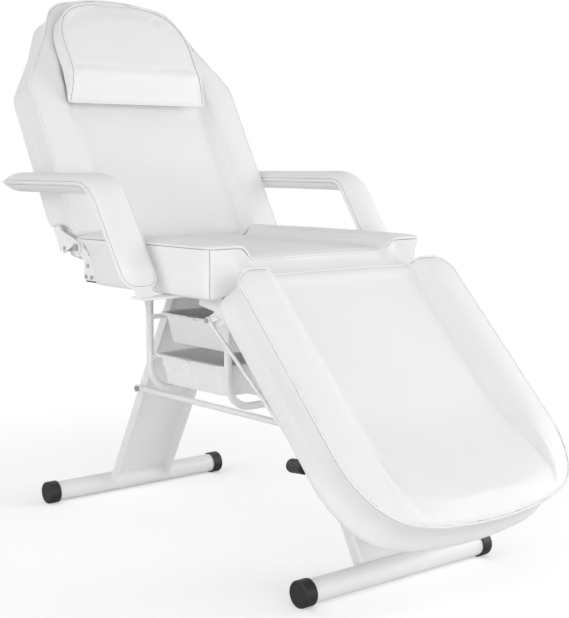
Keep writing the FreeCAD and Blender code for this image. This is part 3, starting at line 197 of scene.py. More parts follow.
white_coat = powder_coat("white_powder_coat", ("#f6f6f6", "#fafafa"), 0.36)
dress([n for n in nodes if n.startswith((
    "rear_foot_bar", "front_foot_bar", "rear_leg", "front_leg", "tie_bar", "seat_frame", "rear_tray_hoop",
    "front_tray_hoop", "hoop_braces", "tray_rails", "armrest_frame", "seat_hinge_plate", "backrest_arm",
    "leg_arm", "leg_hinge_plate", "leg_ratchet_plate", "release_lever"))], white_coat)


# Rubber cups over the ends of the foot bars, plugs in the frame rails and
# the grip on the lever: near black, dull, with a fine matt texture.
rubber, tree = new_material("moulded_black_rubber")
place = add(tree, "ShaderNodeTexCoord")
grain = add(tree, "ShaderNodeTexNoise", {},
            {"Vector": place.outputs["Object"], "Scale": 900.0, "Detail": 3.0})
worn = add(tree, "ShaderNodeTexNoise", {}, {"Vector": place.outputs["Object"], "Scale": 40.0, "Detail": 5.0})
tone = add(tree, "ShaderNodeMixRGB", {}, {0: worn.outputs["Fac"], 1: linear("#121212"), 2: linear("#1d1d1e")})
rough = add(tree, "ShaderNodeMapRange", {}, {"Value": worn.outputs["Fac"], "To Min": 0.42, "To Max": 0.6})
bump = add(tree, "ShaderNodeBump", {}, {"Height": grain.outputs["Fac"], "Strength": 0.2, "Distance": 0.0003})
shader = add(tree, "ShaderNodeBsdfPrincipled", {},
             {"Base Color": tone.outputs[0], "Roughness": rough.outputs[0], "Normal": bump.outputs[0],
              "IOR": 1.52})
add(tree, "ShaderNodeOutputMaterial", {}, {"Surface": shader.outputs[0]})
dress([n for n in nodes if "foot_cap" in n or n in ("lever_grip", "rail_end_plugs")], rubber)


# Bolts, pins, screws and pawls: zinc-plated steel, turned and pressed,
# with a bright, faintly streaked surface.
zinc, tree = new_material("bright_zinc_plate")
place = add(tree, "ShaderNodeTexCoord")
streak = add(tree, "ShaderNodeTexNoise", {},
             {"Vector": place.outputs["Object"], "Scale": 300.0, "Detail": 4.0})
tone = add(tree, "ShaderNodeMixRGB", {},
           {0: streak.outputs["Fac"], 1: linear("#a9abad"), 2: linear("#d0d1d2")})
rough = add(tree, "ShaderNodeMapRange", {}, {"Value": streak.outputs["Fac"], "To Min": 0.2, "To Max": 0.38})
shader = add(tree, "ShaderNodeBsdfPrincipled", {},
             {"Base Color": tone.outputs[0], "Roughness": rough.outputs[0], "Metallic": 1.0})
add(tree, "ShaderNodeOutputMaterial", {}, {"Surface": shader.outputs[0]})
dress([n for n in nodes if any(w in n for w in ("bolt", "pin", "screw", "pawl"))], zinc)


# Two open trays on the angle rails: moulded white polypropylene,
# a little glossy.
tray_plastic, tree = new_material("moulded_white_polypropylene")
place = add(tree, "ShaderNodeTexCoord")
flow = add(tree, "ShaderNodeTexNoise", {}, {"Vector": place.outputs["Object"], "Scale": 14.0, "Detail": 2.0})
fine = add(tree, "ShaderNodeTexNoise", {}, {"Vector": place.outputs["Object"], "Scale": 700.0, "Detail": 2.0})
tone = add(tree, "ShaderNodeMixRGB", {}, {0: flow.outputs["Fac"], 1: linear("#f8f8f8"), 2: linear("#fcfcfc")})
rough = add(tree, "ShaderNodeMapRange", {}, {"Value": flow.outputs["Fac"], "To Min": 0.22, "To Max": 0.34})
bump = add(tree, "ShaderNodeBump", {}, {"Height": fine.outputs["Fac"], "Strength": 0.05, "Distance": 0.0002})
shader = add(tree, "ShaderNodeBsdfPrincipled", {},
             {"Base Color": tone.outputs[0], "Roughness": rough.outputs[0], "Normal": bump.outputs[0],
              "Subsurface Weight": 0.15, "Subsurface Radius": (0.004, 0.004, 0.004), "IOR": 1.49})
add(tree, "ShaderNodeOutputMaterial", {}, {"Surface": shader.outputs[0]})
dress(["upper_tray", "lower_tray"], tray_plastic)


# Boards under the seat, backrest and leg rest: plywood faced with a thin
# resin film, black under the seat and pale grey on the two moving pads.
def film_board(name, dark, light):
    """Film-faced plywood: even colour with the wood grain printing through."""
    material, tree = new_material(name)
    place = add(tree, "ShaderNodeTexCoord")
    stretch = add(tree, "ShaderNodeMapping", {},
                  {"Vector": place.outputs["Object"], "Scale": (1.0, 0.08, 1.0)})
    grain = add(tree, "ShaderNodeTexNoise", {},
                {"Vector": stretch.outputs[0], "Scale": 180.0, "Detail": 6.0, "Distortion": 0.4})
    tone = add(tree, "ShaderNodeMixRGB", {}, {0: grain.outputs["Fac"], 1: linear(dark), 2: linear(light)})
    bump = add(tree, "ShaderNodeBump", {},
               {"Height": grain.outputs["Fac"], "Strength": 0.2, "Distance": 0.0005})
    shader = add(tree, "ShaderNodeBsdfPrincipled", {},
                 {"Base Color": tone.outputs[0], "Roughness": 0.5, "Normal": bump.outputs[0], "IOR": 1.5})
    add(tree, "ShaderNodeOutputMaterial", {}, {"Surface": shader.outputs[0]})
    return material


dress(["seat_board"], film_board("black_film_plywood", "#1b1b1b", "#2c2c2c"))
dress(["backrest_board", "leg_board"], film_board("grey_film_plywood", "#cfcfcf", "#dedede"))


# Seat: foam block under stretched white vinyl, two firm bolsters with a
# sunk middle, corded along the top edge with a grey shadow beside the cord.
# The cover is stapled under the plywood.
MM = 0.001
PIPING_RADIUS = 2.5 * MM
# Radius of the grey cords painted as the shadow beside each piping.
SHADOW_LINE_RADIUS = 0.55 * MM
THREAD_RADIUS = 0.35 * MM
STITCH_PITCH = 6.0 * MM
STITCH_IN = 5 * MM
PATH_PITCH = 4 * MM
SEAM_REACH = 26 * MM
PUCKER_REACH = 45 * MM
HEM_LIFT = 4 * MM
WELD_REACH = 0.02 * MM
CUSHION_VOXEL = 6.0 * MM
CUSHION_CAP = 6 * MM
CUSHION_PRESSURE = 4.0
CLOTH_FRAMES = 20
NEAR_SEAMS = 5


def vinyl(name):
    """Calendered vinyl on knit: pebbled grain, soft gloss, light creases at seams."""
    material, tree = new_material(name)
    place = add(tree, "ShaderNodeTexCoord")
    pebble = add(tree, "ShaderNodeTexVoronoi", {"feature": "F1"},
                 {"Vector": place.outputs["Object"], "Scale": 620.0})
    crease = add(tree, "ShaderNodeTexNoise", {},
                 {"Vector": place.outputs["Object"], "Scale": 34.0, "Detail": 5.0, "Roughness": 0.55})
    broad = add(tree, "ShaderNodeTexNoise", {},
                {"Vector": place.outputs["Object"], "Scale": 6.0, "Detail": 3.0})
    pull = add(tree, "ShaderNodeAttribute", {"attribute_name": "near_seam"})
    puckers = add(tree, "ShaderNodeMath", {"operation": "MULTIPLY"},
                  {0: crease.outputs["Fac"], 1: pull.outputs["Fac"]})
    tint = add(tree, "ShaderNodeMixRGB", {},
               {0: broad.outputs["Fac"], 1: linear("#f0f0f0"), 2: linear("#f6f6f6")})
    rough = add(tree, "ShaderNodeMapRange", {},
                {"Value": crease.outputs["Fac"], "To Min": 0.4, "To Max": 0.52})
    grain = add(tree, "ShaderNodeBump", {},
                {"Height": pebble.outputs["Distance"], "Strength": 0.12, "Distance": 0.0003})
    folds_and_painted_shadows = add(tree, "ShaderNodeBump", {},
                {"Height": broad.outputs["Fac"], "Normal": grain.outputs[0], "Strength": 0.1,
                 "Distance": 0.004})
    seams = add(tree, "ShaderNodeBump", {},
                {"Height": puckers.outputs[0], "Normal": folds_and_painted_shadows.outputs[0], "Strength": 0.3,
                 "Distance": 0.004})
    shader = add(tree, "ShaderNodeBsdfPrincipled", {},
                 {"Base Color": tint.outputs[0], "Roughness": rough.outputs[0], "Normal": seams.outputs[0],
                  "IOR": 1.48, "Coat Weight": 0.06, "Coat Roughness": 0.25})
    add(tree, "ShaderNodeOutputMaterial", {}, {"Surface": shader.outputs[0]})
    return material


white_vinyl = vinyl("white_upholstery_vinyl")
# Painted shade: grey cords beside the piping stand for the shadow in the seam grooves. They are dark lines
# where there is only shade, with a tone that varies at random.
seam_shade, tree = new_material("grey_painted_seam_shadow")
place = add(tree, "ShaderNodeTexCoord")
shade_variation = add(tree, "ShaderNodeTexNoise", {}, {"Vector": place.outputs["Object"], "Scale": 60.0, "Detail": 2.0})
tone = add(tree, "ShaderNodeMixRGB", {}, {0: shade_variation.outputs["Fac"], 1: linear("#727273"), 2: linear("#959596")})
shader = add(tree, "ShaderNodeBsdfPrincipled", {}, {"Base Color": tone.outputs[0], "Roughness": 0.7})
add(tree, "ShaderNodeOutputMaterial", {}, {"Surface": shader.outputs[0]})
thread, tree = new_material("white_polyester_thread")
place = add(tree, "ShaderNodeTexCoord")
twist = add(tree, "ShaderNodeTexWave", {"bands_direction": "DIAGONAL"},
            {"Vector": place.outputs["Object"], "Scale": 900.0})
bump = add(tree, "ShaderNodeBump", {}, {"Height": twist.outputs["Fac"], "Strength": 0.3, "Distance": 0.0002})
shader = add(tree, "ShaderNodeBsdfPrincipled", {},
             {"Base Color": linear("#e6e6e4"), "Roughness": 0.65, "Normal": bump.outputs[0],
              "Sheen Weight": 0.2})
add(tree, "ShaderNodeOutputMaterial", {}, {"Surface": shader.outputs[0]})


def link_mesh(name, mesh):
    """A new object for a mesh that already lies in its place."""
    made = bpy.data.objects.new(name, mesh)
    scene.collection.objects.link(made)
    return made


def evaluated(piece):
    """A plain mesh of the piece with its modifiers worked in."""
    bpy.context.view_layer.update()
    return bpy.data.meshes.new_from_object(piece.evaluated_get(bpy.context.evaluated_depsgraph_get()))


def foam_form(name, node, voxel):
    """The CAD solid of a cushion as one even skin that cloth can work on."""
    raw = link_mesh(name + "_raw", nodes[node].data.copy())
    weld = raw.modifiers.new("weld", "WELD")
    weld.merge_threshold = WELD_REACH
    remesh = raw.modifiers.new("remesh", "REMESH")
    remesh.mode = "VOXEL"
    remesh.voxel_size = voxel
    mesh = evaluated(raw)
    bpy.data.objects.remove(raw)
    mesh.materials.clear()
    mesh.materials.append(white_vinyl)
    return link_mesh(name, mesh)


def stretch_cover(piece, pressure, cap, held):
    """Swells the skin as pressed cloth; held says how firmly each point stays."""
    mesh = piece.data
    before = [v.co.copy() for v in mesh.vertices]
    weights = [held(v.co, v.normal) for v in mesh.vertices]
    pins = piece.vertex_groups.new(name="held")
    for i, weight in enumerate(weights):
        if weight > 0:
            pins.add([i], weight, "REPLACE")
    cloth = piece.modifiers.new("cover", "CLOTH")
    cloth.settings.quality = 4
    cloth.settings.mass = 0.35
    cloth.settings.tension_stiffness = 14
    cloth.settings.compression_stiffness = 14
    cloth.settings.use_pressure = True
    cloth.settings.uniform_pressure_force = pressure
    cloth.settings.vertex_group_mass = "held"
    cloth.settings.effector_weights.gravity = 0
    cloth.point_cache.frame_start = 1
    cloth.point_cache.frame_end = CLOTH_FRAMES
    for step in range(1, CLOTH_FRAMES + 1):
        scene.frame_set(step)
    cover = evaluated(piece)
    after = [v.co.copy() for v in cover.vertices]
    bpy.data.meshes.remove(cover)
    piece.modifiers.remove(cloth)
    piece.vertex_groups.clear()
    scene.frame_set(1)
    for i, v in enumerate(mesh.vertices):
        move = after[i] - before[i]
        if move.length > cap:
            move *= cap / move.length
        v.co = before[i] + move * (1 - weights[i])


def settle(piece, rounds, loose=None):
    """Evens out the skin where it is loose and gives it one live subdivision."""
    if rounds:
        slack = piece.vertex_groups.new(name="slack")
        for i, v in enumerate(piece.data.vertices):
            slack.add([i], loose(v.co) if loose else 1.0, "REPLACE")
        relax = piece.modifiers.new("relax", "SMOOTH")
        relax.vertex_group = "slack"
        relax.factor = 0.5
        relax.iterations = rounds
        relaxed = evaluated(piece)
        piece.modifiers.clear()
        piece.vertex_groups.clear()
        piece.data = relaxed
    finer = piece.modifiers.new("finer", "SUBSURF")
    finer.levels = finer.render_levels = 1
    for polygon in piece.data.polygons:
        polygon.use_smooth = True


def surface_of(piece):
    """A search tree of a finished cover."""
    mesh = evaluated(piece)
    tree = BVHTree.FromPolygons([v.co for v in mesh.vertices], [p.vertices[:] for p in mesh.polygons])
    bpy.data.meshes.remove(mesh)
    return tree


def round_loop(corners, radii):
    """Points along straight runs and tangent arcs, in the plane of the corners."""
    points = []
    count = len(corners)
    for i, corner in enumerate(corners):
        into = (corners[i - 1] - corner).normalized()
        away = (corners[(i + 1) % count] - corner).normalized()
        half_angle = into.angle(away) / 2
        reach = radii[i] / math.tan(half_angle)
        centre = corner + (into + away).normalized() * radii[i] / math.sin(half_angle)
        first = corner + into * reach - centre
        last = corner + away * reach - centre
        turn = first.angle(last)
        steps = max(3, int(turn * radii[i] / (6 * MM)))
        axis = first.cross(last).normalized()
        for k in range(steps + 1):
            points.append(centre + Matrix.Rotation(turn * k / steps, 3, axis) @ first)
    return points


def dense(points, pitch, closed=True):
    """The same path with a point about every pitch."""
    result = []
    for a, b in zip(points, points[1:] + points[:1] if closed else points[1:]):
        steps = max(1, round((b - a).length / pitch))
        result += [a.lerp(b, k / steps) for k in range(steps)]
    if not closed:
        result.append(points[-1])
    return result


def eased(points, rounds):
    """Rounds the corners of a closed path of even points a little."""
    for _ in range(rounds):
        count = len(points)
        points = [(points[i - 1] + points[i] * 2 + points[(i + 1) % count]) / 4 for i in range(count)]
    return points


def beside(loop, up, across, down):
    """The loop moved towards its inside and down the side of the cushion."""
    count = len(loop)
    centre = sum(loop, Vector()) / count
    inward = [up.cross(loop[(i + 1) % count] - loop[i - 1]).normalized() for i in range(count)]
    if sum(d.dot(centre - p) for d, p in zip(inward, loop)) < 0:
        inward = [-d for d in inward]
    return [p + d * across - up * down for p, d in zip(loop, inward)]


def soft_step(value):
    """A smooth step from 0 to 1."""
    share = min(max(value, 0), 1)
    return share * share * (3 - 2 * share)


def seam_finder(spots):
    """A search tree of the points of seams."""
    finder = KDTree(len(spots))
    for i, p in enumerate(spots):
        finder.insert(p, i)
    finder.balance()
    return finder


def draw_to_seams(piece, loops, reach):
    """Pulls the cover out to its sewn edges, so that each cord lies on the edge."""
    spots = [p for loop in loops for p in loop]
    finder = seam_finder(spots)
    for _ in range(2):
        surface = surface_of(piece)
        pulls = [p - surface.find_nearest(p)[0] for p in spots]
        for v in piece.data.vertices:
            near = finder.find_n(v.co, NEAR_SEAMS)
            weights = [1 / (d + 1 * MM) for _, _, d in near]
            pull = sum((pulls[i] * w for (_, i, _), w in zip(near, weights)), Vector()) / sum(weights)
            v.co += pull * soft_step(1 - (near[0][2] - pull.length) / reach)
        piece.data.update()


def sweep_tree():
    """Geometry nodes: a round cord along a path."""
    tree = bpy.data.node_groups.new("cord_along_seam", "GeometryNodeTree")
    face = tree.interface
    face.new_socket("Path", in_out="INPUT", socket_type="NodeSocketGeometry")
    face.new_socket("Radius", in_out="INPUT", socket_type="NodeSocketFloat")
    face.new_socket("Finish", in_out="INPUT", socket_type="NodeSocketMaterial")
    face.new_socket("Cord", in_out="OUTPUT", socket_type="NodeSocketGeometry")
    given = add(tree, "NodeGroupInput")
    ring = add(tree, "GeometryNodeCurvePrimitiveCircle", {},
               {"Resolution": 8, "Radius": given.outputs["Radius"]})
    swept = add(tree, "GeometryNodeCurveToMesh", {},
                {"Curve": given.outputs["Path"], "Profile Curve": ring.outputs["Curve"], "Fill Caps": True})
    smooth = add(tree, "GeometryNodeSetShadeSmooth", {}, {"Geometry": swept.outputs[0]})
    real = add(tree, "GeometryNodeRealizeInstances", {}, {"Geometry": smooth.outputs[0]})
    finish = add(tree, "GeometryNodeSetMaterial", {},
                 {"Geometry": real.outputs[0], "Material": given.outputs["Finish"]})
    add(tree, "NodeGroupOutput", {}, {"Cord": finish.outputs[0]})
    return tree


def stitch_tree():
    """Geometry nodes: short thread stitches set along a path."""
    tree = bpy.data.node_groups.new("stitches_along_seam", "GeometryNodeTree")
    face = tree.interface
    face.new_socket("Path", in_out="INPUT", socket_type="NodeSocketGeometry")
    face.new_socket("Pitch", in_out="INPUT", socket_type="NodeSocketFloat")
    face.new_socket("Thickness", in_out="INPUT", socket_type="NodeSocketFloat")
    face.new_socket("Finish", in_out="INPUT", socket_type="NodeSocketMaterial")
    face.new_socket("Stitches", in_out="OUTPUT", socket_type="NodeSocketGeometry")
    given = add(tree, "NodeGroupInput")
    spots = add(tree, "GeometryNodeCurveToPoints", {"mode": "LENGTH"},
                {"Curve": given.outputs["Path"], "Length": given.outputs["Pitch"]})
    length = add(tree, "ShaderNodeMath", {"operation": "MULTIPLY"}, {0: given.outputs["Pitch"], 1: 0.72})
    stitch = add(tree, "GeometryNodeMeshCylinder", {},
                 {"Vertices": 6, "Radius": given.outputs["Thickness"], "Depth": length.outputs[0]})
    turned = add(tree, "FunctionNodeAlignRotationToVector", {"axis": "Z"},
                 {"Vector": spots.outputs["Tangent"]})
    set_on = add(tree, "GeometryNodeInstanceOnPoints", {},
                 {"Points": spots.outputs["Points"], "Instance": stitch.outputs["Mesh"],
                  "Rotation": turned.outputs[0]})
    real = add(tree, "GeometryNodeRealizeInstances", {}, {"Geometry": set_on.outputs[0]})
    finish = add(tree, "GeometryNodeSetMaterial", {},
                 {"Geometry": real.outputs[0], "Material": given.outputs["Finish"]})
    add(tree, "NodeGroupOutput", {}, {"Stitches": finish.outputs[0]})
    return tree


cord_nodes = sweep_tree()
stitch_nodes = stitch_tree()


def follow(name, paths, group, values, body):
    """Runs a node group along paths and keeps the result as a plain mesh."""
    curve = bpy.data.curves.new(name + "_path", "CURVE")
    curve.dimensions = "3D"
    for points, closed in paths:
        spline = curve.splines.new("POLY")
        spline.points.add(len(points) - 1)
        for point, p in zip(spline.points, points):
            point.co = (p.x, p.y, p.z, 1.0)
        spline.use_cyclic_u = closed
    carrier = bpy.data.objects.new(name + "_path", curve)
    scene.collection.objects.link(carrier)
    modifier = carrier.modifiers.new("run", "NODES")
    modifier.node_group = group
    for item in group.interface.items_tree:
        if item.in_out == "INPUT" and item.name in values:
            modifier[item.identifier] = values[item.name]
    mesh = evaluated(carrier)
    bpy.data.objects.remove(carrier)
    made = link_mesh(name, mesh)
    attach(made, body)


def near_seams(piece, spots, reach):
    """Marks how close each point of the cover lies to a seam."""
    finder = seam_finder(spots)
    mark = piece.data.attributes.new("near_seam", "FLOAT", "POINT")
    for i, v in enumerate(piece.data.vertices):
        mark.data[i].value = max(0.0, 1 - finder.find(v.co)[2] / reach)


def laid(points, surface):
    """A path moved on to the cover and evened out."""
    found = [surface.find_nearest(p)[0] for p in points]
    return eased(found, 1)


def never(p):
    """No part of the edge is rolled."""
    return False


def sharp_runs(points, rolled):
    """The parts of a closed path that lie along a sewn edge."""
    flags = [rolled(p) for p in points]
    if not any(flags):
        return [(points, True)]
    start = flags.index(True)
    runs, run = [], []
    for p, flag in zip(points[start:] + points[:start + 1], flags[start:] + flags[:start + 1]):
        if not flag:
            run.append(p)
            continue
        if len(run) > 2:
            runs.append((run, False))
        run = []
    return runs


def finish_cover(piece, node, body, loops, shadow_lines=(), rolled=never):
    """Cords, the grey lines painted as their shadows, and stitches of one cushion, then its place on its
    body.
    """
    spots = [p for loop, _ in loops for p in loop] + [p for shadow_line in shadow_lines for p in shadow_line]
    near_seams(piece, spots, PUCKER_REACH)
    surface = surface_of(piece)
    cords, folds_and_painted_shadows, rows = [], [], []
    # Painted shade: grey cords on both sides of each piping, and along each extra path given, stand for the
    # shadow in the seam grooves.
    gap = PIPING_RADIUS + SHADOW_LINE_RADIUS * 0.6
    for loop, up in loops:
        cords.append((beside(loop, up, -PIPING_RADIUS * 0.35, -PIPING_RADIUS * 0.35), True))
        for across, down in ((gap, 0), (0, gap)):
            folds_and_painted_shadows += sharp_runs(laid(beside(loop, up, across, down), surface), rolled)
        rows += sharp_runs(laid(beside(loop, up, gap + STITCH_IN, 0), surface), rolled)
    folds_and_painted_shadows += [([surface.find_nearest(p)[0] for p in dense(shadow_line, PATH_PITCH, False)], False) for shadow_line in shadow_lines]
    follow(piece.name + "_piping", cords, cord_nodes, {"Radius": PIPING_RADIUS, "Finish": white_vinyl}, body)
    follow(piece.name + "_painted_seam_shadows", folds_and_painted_shadows, cord_nodes, {"Radius": SHADOW_LINE_RADIUS, "Finish": seam_shade}, body)
    follow(piece.name + "_stitches", rows, stitch_nodes,
           {"Pitch": STITCH_PITCH, "Thickness": THREAD_RADIUS, "Finish": thread}, body)
    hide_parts(node)
    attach(piece, body)


SEAT_HALF = 300 * MM
SEAT_FRONT = -252 * MM
SEAT_REAR = 258 * MM
SEAT_TOP = 682 * MM
SEAT_BOTTOM = 578 * MM
SEAT_CORNER = 20 * MM
BOLSTER_IN = 228 * MM
SUNK_HALF = 188 * MM
CROWN = 10 * MM
SUNK_DEPTH = 34 * MM
NESTLE = 10 * MM
SEAT_NESTLE_REACH = 55 * MM
BOLSTER_BACK = 4 * MM
BOLSTER_EDGE = 35 * MM
BEAM_POCKET_HALF = 283 * MM
BEAM_POCKET_TOP = SEAT_BOTTOM + 48 * MM
BEAM_POCKET_START = 200 * MM
PLATE_SLOT_HALF = 285 * MM
PLATE_SLOT_TOP = SEAT_BOTTOM + 66 * MM
PLATE_SLOT_START = 110 * MM
PIPING_BAND = 5 * MM
PIPING_HOLD = 0.9
FACES_DOWN = -0.5
FACES_UP = 0.85
Z_UP = Vector((0, 0, 1))


def sunk_height(x, face):
    """Height of the piping across a cushion's end: it dips with the sunk middle."""
    height = CROWN - SUNK_DEPTH * (1 - soft_step((abs(x) - SUNK_HALF) / (BOLSTER_IN - SUNK_HALF)))
    height += 2 * MM * max(0, 1 - (x / SUNK_HALF) ** 2)
    return face + min(height, 0)


def seat_held(p, normal):
    """The cover is tight round the board, and the piping keeps its line."""
    if p.z < SEAT_BOTTOM + 8 * MM or normal.z < FACES_DOWN:
        return 1.0
    behind = p.y > 0 and abs(p.y - FEET_Y) > BEAM_POCKET_START
    if behind and abs(p.x) < BEAM_POCKET_HALF and p.z < BEAM_POCKET_TOP:
        return 1.0
    if abs(p.x) < PLATE_SLOT_HALF and p.z < PLATE_SLOT_TOP and p.y > FEET_Y + PLATE_SLOT_START:
        return 1.0
    if abs(p.z - SEAT_TOP) < PIPING_BAND and normal.z < FACES_UP:
        return PIPING_HOLD
    return 0.0


def nestled(p):
    """How the sunk middle bulges back and up against the backrest, and the bolsters draw in."""
    if p.z < SEAT_BOTTOM + 45 * MM:
        return Vector()
    across = 1 - soft_step((abs(p.x) - BOLSTER_IN) / BOLSTER_EDGE)
    behind = soft_step(1 - (SEAT_REAR + FEET_Y - p.y) / SEAT_NESTLE_REACH)
    return Vector((0, NESTLE * across - BOLSTER_BACK * (1 - across), NESTLE * across)) * behind


def seat_rolled(p):
    """The front edge of the sunk middle is rolled over, not corded hard."""
    return p.y < SEAT_FRONT + FEET_Y + 30 * MM and abs(p.x) < SUNK_HALF + 10 * MM


def above_board(height):
    """How loose the skin is: the rim round the board keeps its shape."""
    return 0.15 + 0.85 * soft_step((height - 15 * MM) / (25 * MM))


seat = foam_form("seat_pad", "seat_cushion", CUSHION_VOXEL)
for v in seat.data.vertices:
    v.co += nestled(v.co)
stretch_cover(seat, CUSHION_PRESSURE, CUSHION_CAP, seat_held)
settle(seat, 4, lambda p: above_board(p.z - SEAT_BOTTOM))
corners = [Vector((side * SEAT_HALF, y + FEET_Y, SEAT_TOP))
           for side, y in ((-1, SEAT_FRONT), (1, SEAT_FRONT), (1, SEAT_REAR), (-1, SEAT_REAR))]
seat_loop = [Vector((p.x, p.y, sunk_height(p.x, SEAT_TOP)))
             for p in dense(round_loop(corners, [SEAT_CORNER] * len(corners)), PATH_PITCH)]
seat_loop = eased([p + nestled(p) for p in seat_loop], 2)
seat_hem = [Vector((p.x, p.y, SEAT_BOTTOM + HEM_LIFT))
            for p in seat_loop if p.y < SEAT_REAR + FEET_Y - 90 * MM]
draw_to_seams(seat, [[p for p in seat_loop if not seat_rolled(p)], seat_hem], SEAM_REACH)
cover = surface_of(seat)
seat_loop = eased([cover.find_nearest(p)[0] if seat_rolled(p) else p for p in seat_loop], 2)
# Painted shade: a grey line down each front corner of the seat stands for the shadow in the corner seam.
seat_corner_shadow_lines = []
for side in (-1, 1):
    x = side * (SEAT_HALF - 6 * MM)
    y = SEAT_FRONT + FEET_Y + 6 * MM
    seat_corner_shadow_lines.append([Vector((x, y, SEAT_TOP - 4 * MM)), Vector((x, y, SEAT_BOTTOM + 3 * MM))])
finish_cover(seat, "seat_cushion", "base", [(seat_loop, Z_UP)], seat_corner_shadow_lines, seat_rolled)


# Backrest: foam on plywood, shaped like the seat with its top drawn in to
# the head end. Its sides, sunk middle and cording match the seat's.
BACK_PIVOT = Vector((0, 281 * MM + FEET_Y, 657 * MM))
BACK_ANGLE = math.radians(60.78)
BACK_PLACE = Matrix.Translation(BACK_PIVOT) @ Matrix.Rotation(BACK_ANGLE, 4, "X")
BACK_HOME = BACK_PLACE.inverted()
BACK_UP = BACK_PLACE.to_3x3() @ Z_UP
BACK_FACE = 26.5 * MM
BACK_BACK = -71.5 * MM
BACK_START = 14 * MM
BACK_LENGTH = 680 * MM
BACK_NESTLE_REACH = 50 * MM
BOARD_BAND = 17 * MM
HINGE_POCKET_IN = 262 * MM
HINGE_POCKET_END = 95 * MM
SUNK_END = 200 * MM


def back_held(p, normal):
    """Tight at the board and the hinge pockets, and along the piping."""
    q = BACK_HOME @ p
    n = BACK_HOME.to_3x3() @ normal
    if q.z < BACK_BACK + BOARD_BAND or n.z < FACES_DOWN or q.y < 12 * MM:
        return 1.0
    if abs(q.x) > HINGE_POCKET_IN and q.y < HINGE_POCKET_END:
        return 1.0
    if abs(q.z - BACK_FACE) < PIPING_BAND and n.z < FACES_UP:
        return PIPING_HOLD
    return 0.0


def both_halves(right, radii):
    """A whole outline and its corner radii from the right half."""
    left = [Vector((-p.x, p.y, p.z)) for p in reversed(right[:-1])]
    return right + left, radii + list(reversed(radii[:-1]))


def back_nestled(q):
    """How the sunk middle bulges down against the seat, and the bolsters draw in."""
    across = 1 - soft_step((abs(q.x) - BOLSTER_IN) / BOLSTER_EDGE)
    below = soft_step(1 - (q.y - BACK_START) / BACK_NESTLE_REACH)
    return Vector((0, BOLSTER_BACK * (1 - across) - NESTLE * across, 0)) * below


back = foam_form("backrest_pad", "backrest_cushion", CUSHION_VOXEL)
for v in back.data.vertices:
    q = BACK_HOME @ v.co
    v.co = BACK_PLACE @ (q + back_nestled(q))
stretch_cover(back, CUSHION_PRESSURE, CUSHION_CAP, back_held)
settle(back, 4, lambda p: above_board((BACK_HOME @ p).z - BACK_BACK))
back_shares = [(1.0, 0.0), (1.0, 0.616), (0.75, 0.79), (0.585, 0.945), (0.0, 0.995)]
back_radius_shares = (0.04, 0.24, 0.32, 0.26, 1.6)
right = [Vector((SEAT_HALF * a, BACK_START + BACK_LENGTH * s, BACK_FACE)) for a, s in back_shares]
back_corners, back_radii = both_halves(right, [SEAT_HALF * r for r in back_radius_shares])
back_loop, back_hem = [], []
for p in dense(round_loop(back_corners, back_radii), PATH_PITCH):
    if p.y > BACK_START + 100 * MM:
        back_hem.append(BACK_PLACE @ Vector((p.x, p.y, BACK_BACK + HEM_LIFT)))
    if p.y < SUNK_END:
        p.z = sunk_height(p.x, BACK_FACE)
    back_loop.append(BACK_PLACE @ (p + back_nestled(p)))
back_loop = eased(back_loop, 2)
draw_to_seams(back, [back_loop, back_hem], SEAM_REACH)
finish_cover(back, "backrest_cushion", "backrest", [(back_loop, BACK_UP)])


# Leg rest: the same build as the seat, with a rounded lower end.
LEG_PIVOT = Vector((0, -257 * MM + FEET_Y, 576 * MM))
LEG_ANGLE = math.radians(46.56)
LEG_PLACE = Matrix.Translation(LEG_PIVOT) @ Matrix.Rotation(LEG_ANGLE, 4, "X")
LEG_HOME = LEG_PLACE.inverted()
LEG_UP = LEG_PLACE.to_3x3() @ Z_UP
LEG_BACK = 6 * MM
LEG_FACE = 99 * MM
LEG_START = 1.5 * MM
LEG_LENGTH = 624 * MM


def leg_held(p, normal):
    """Tight at the board and along the piping."""
    q = LEG_HOME @ p
    n = LEG_HOME.to_3x3() @ normal
    if q.z < LEG_BACK + BOARD_BAND or n.z < FACES_DOWN:
        return 1.0
    if abs(q.z - LEG_FACE) < PIPING_BAND and n.z < FACES_UP:
        return PIPING_HOLD
    return 0.0


def leg_filled(q):
    """How much fuller the foam is than its block where the sunk middle runs out."""
    if abs(q.x) > BOLSTER_IN or q.z < LEG_FACE - SUNK_DEPTH:
        return Vector()
    along = -q.y - LEG_START
    block = min(max((along - LEG_LENGTH * 0.8) / (LEG_LENGTH * 0.17), 0), 1)
    foam = soft_step((along - LEG_LENGTH * 0.55) / (LEG_LENGTH * 0.43))
    depth = CROWN - sunk_height(q.x, 0)
    return Vector((0, 0, depth * (foam - block)))


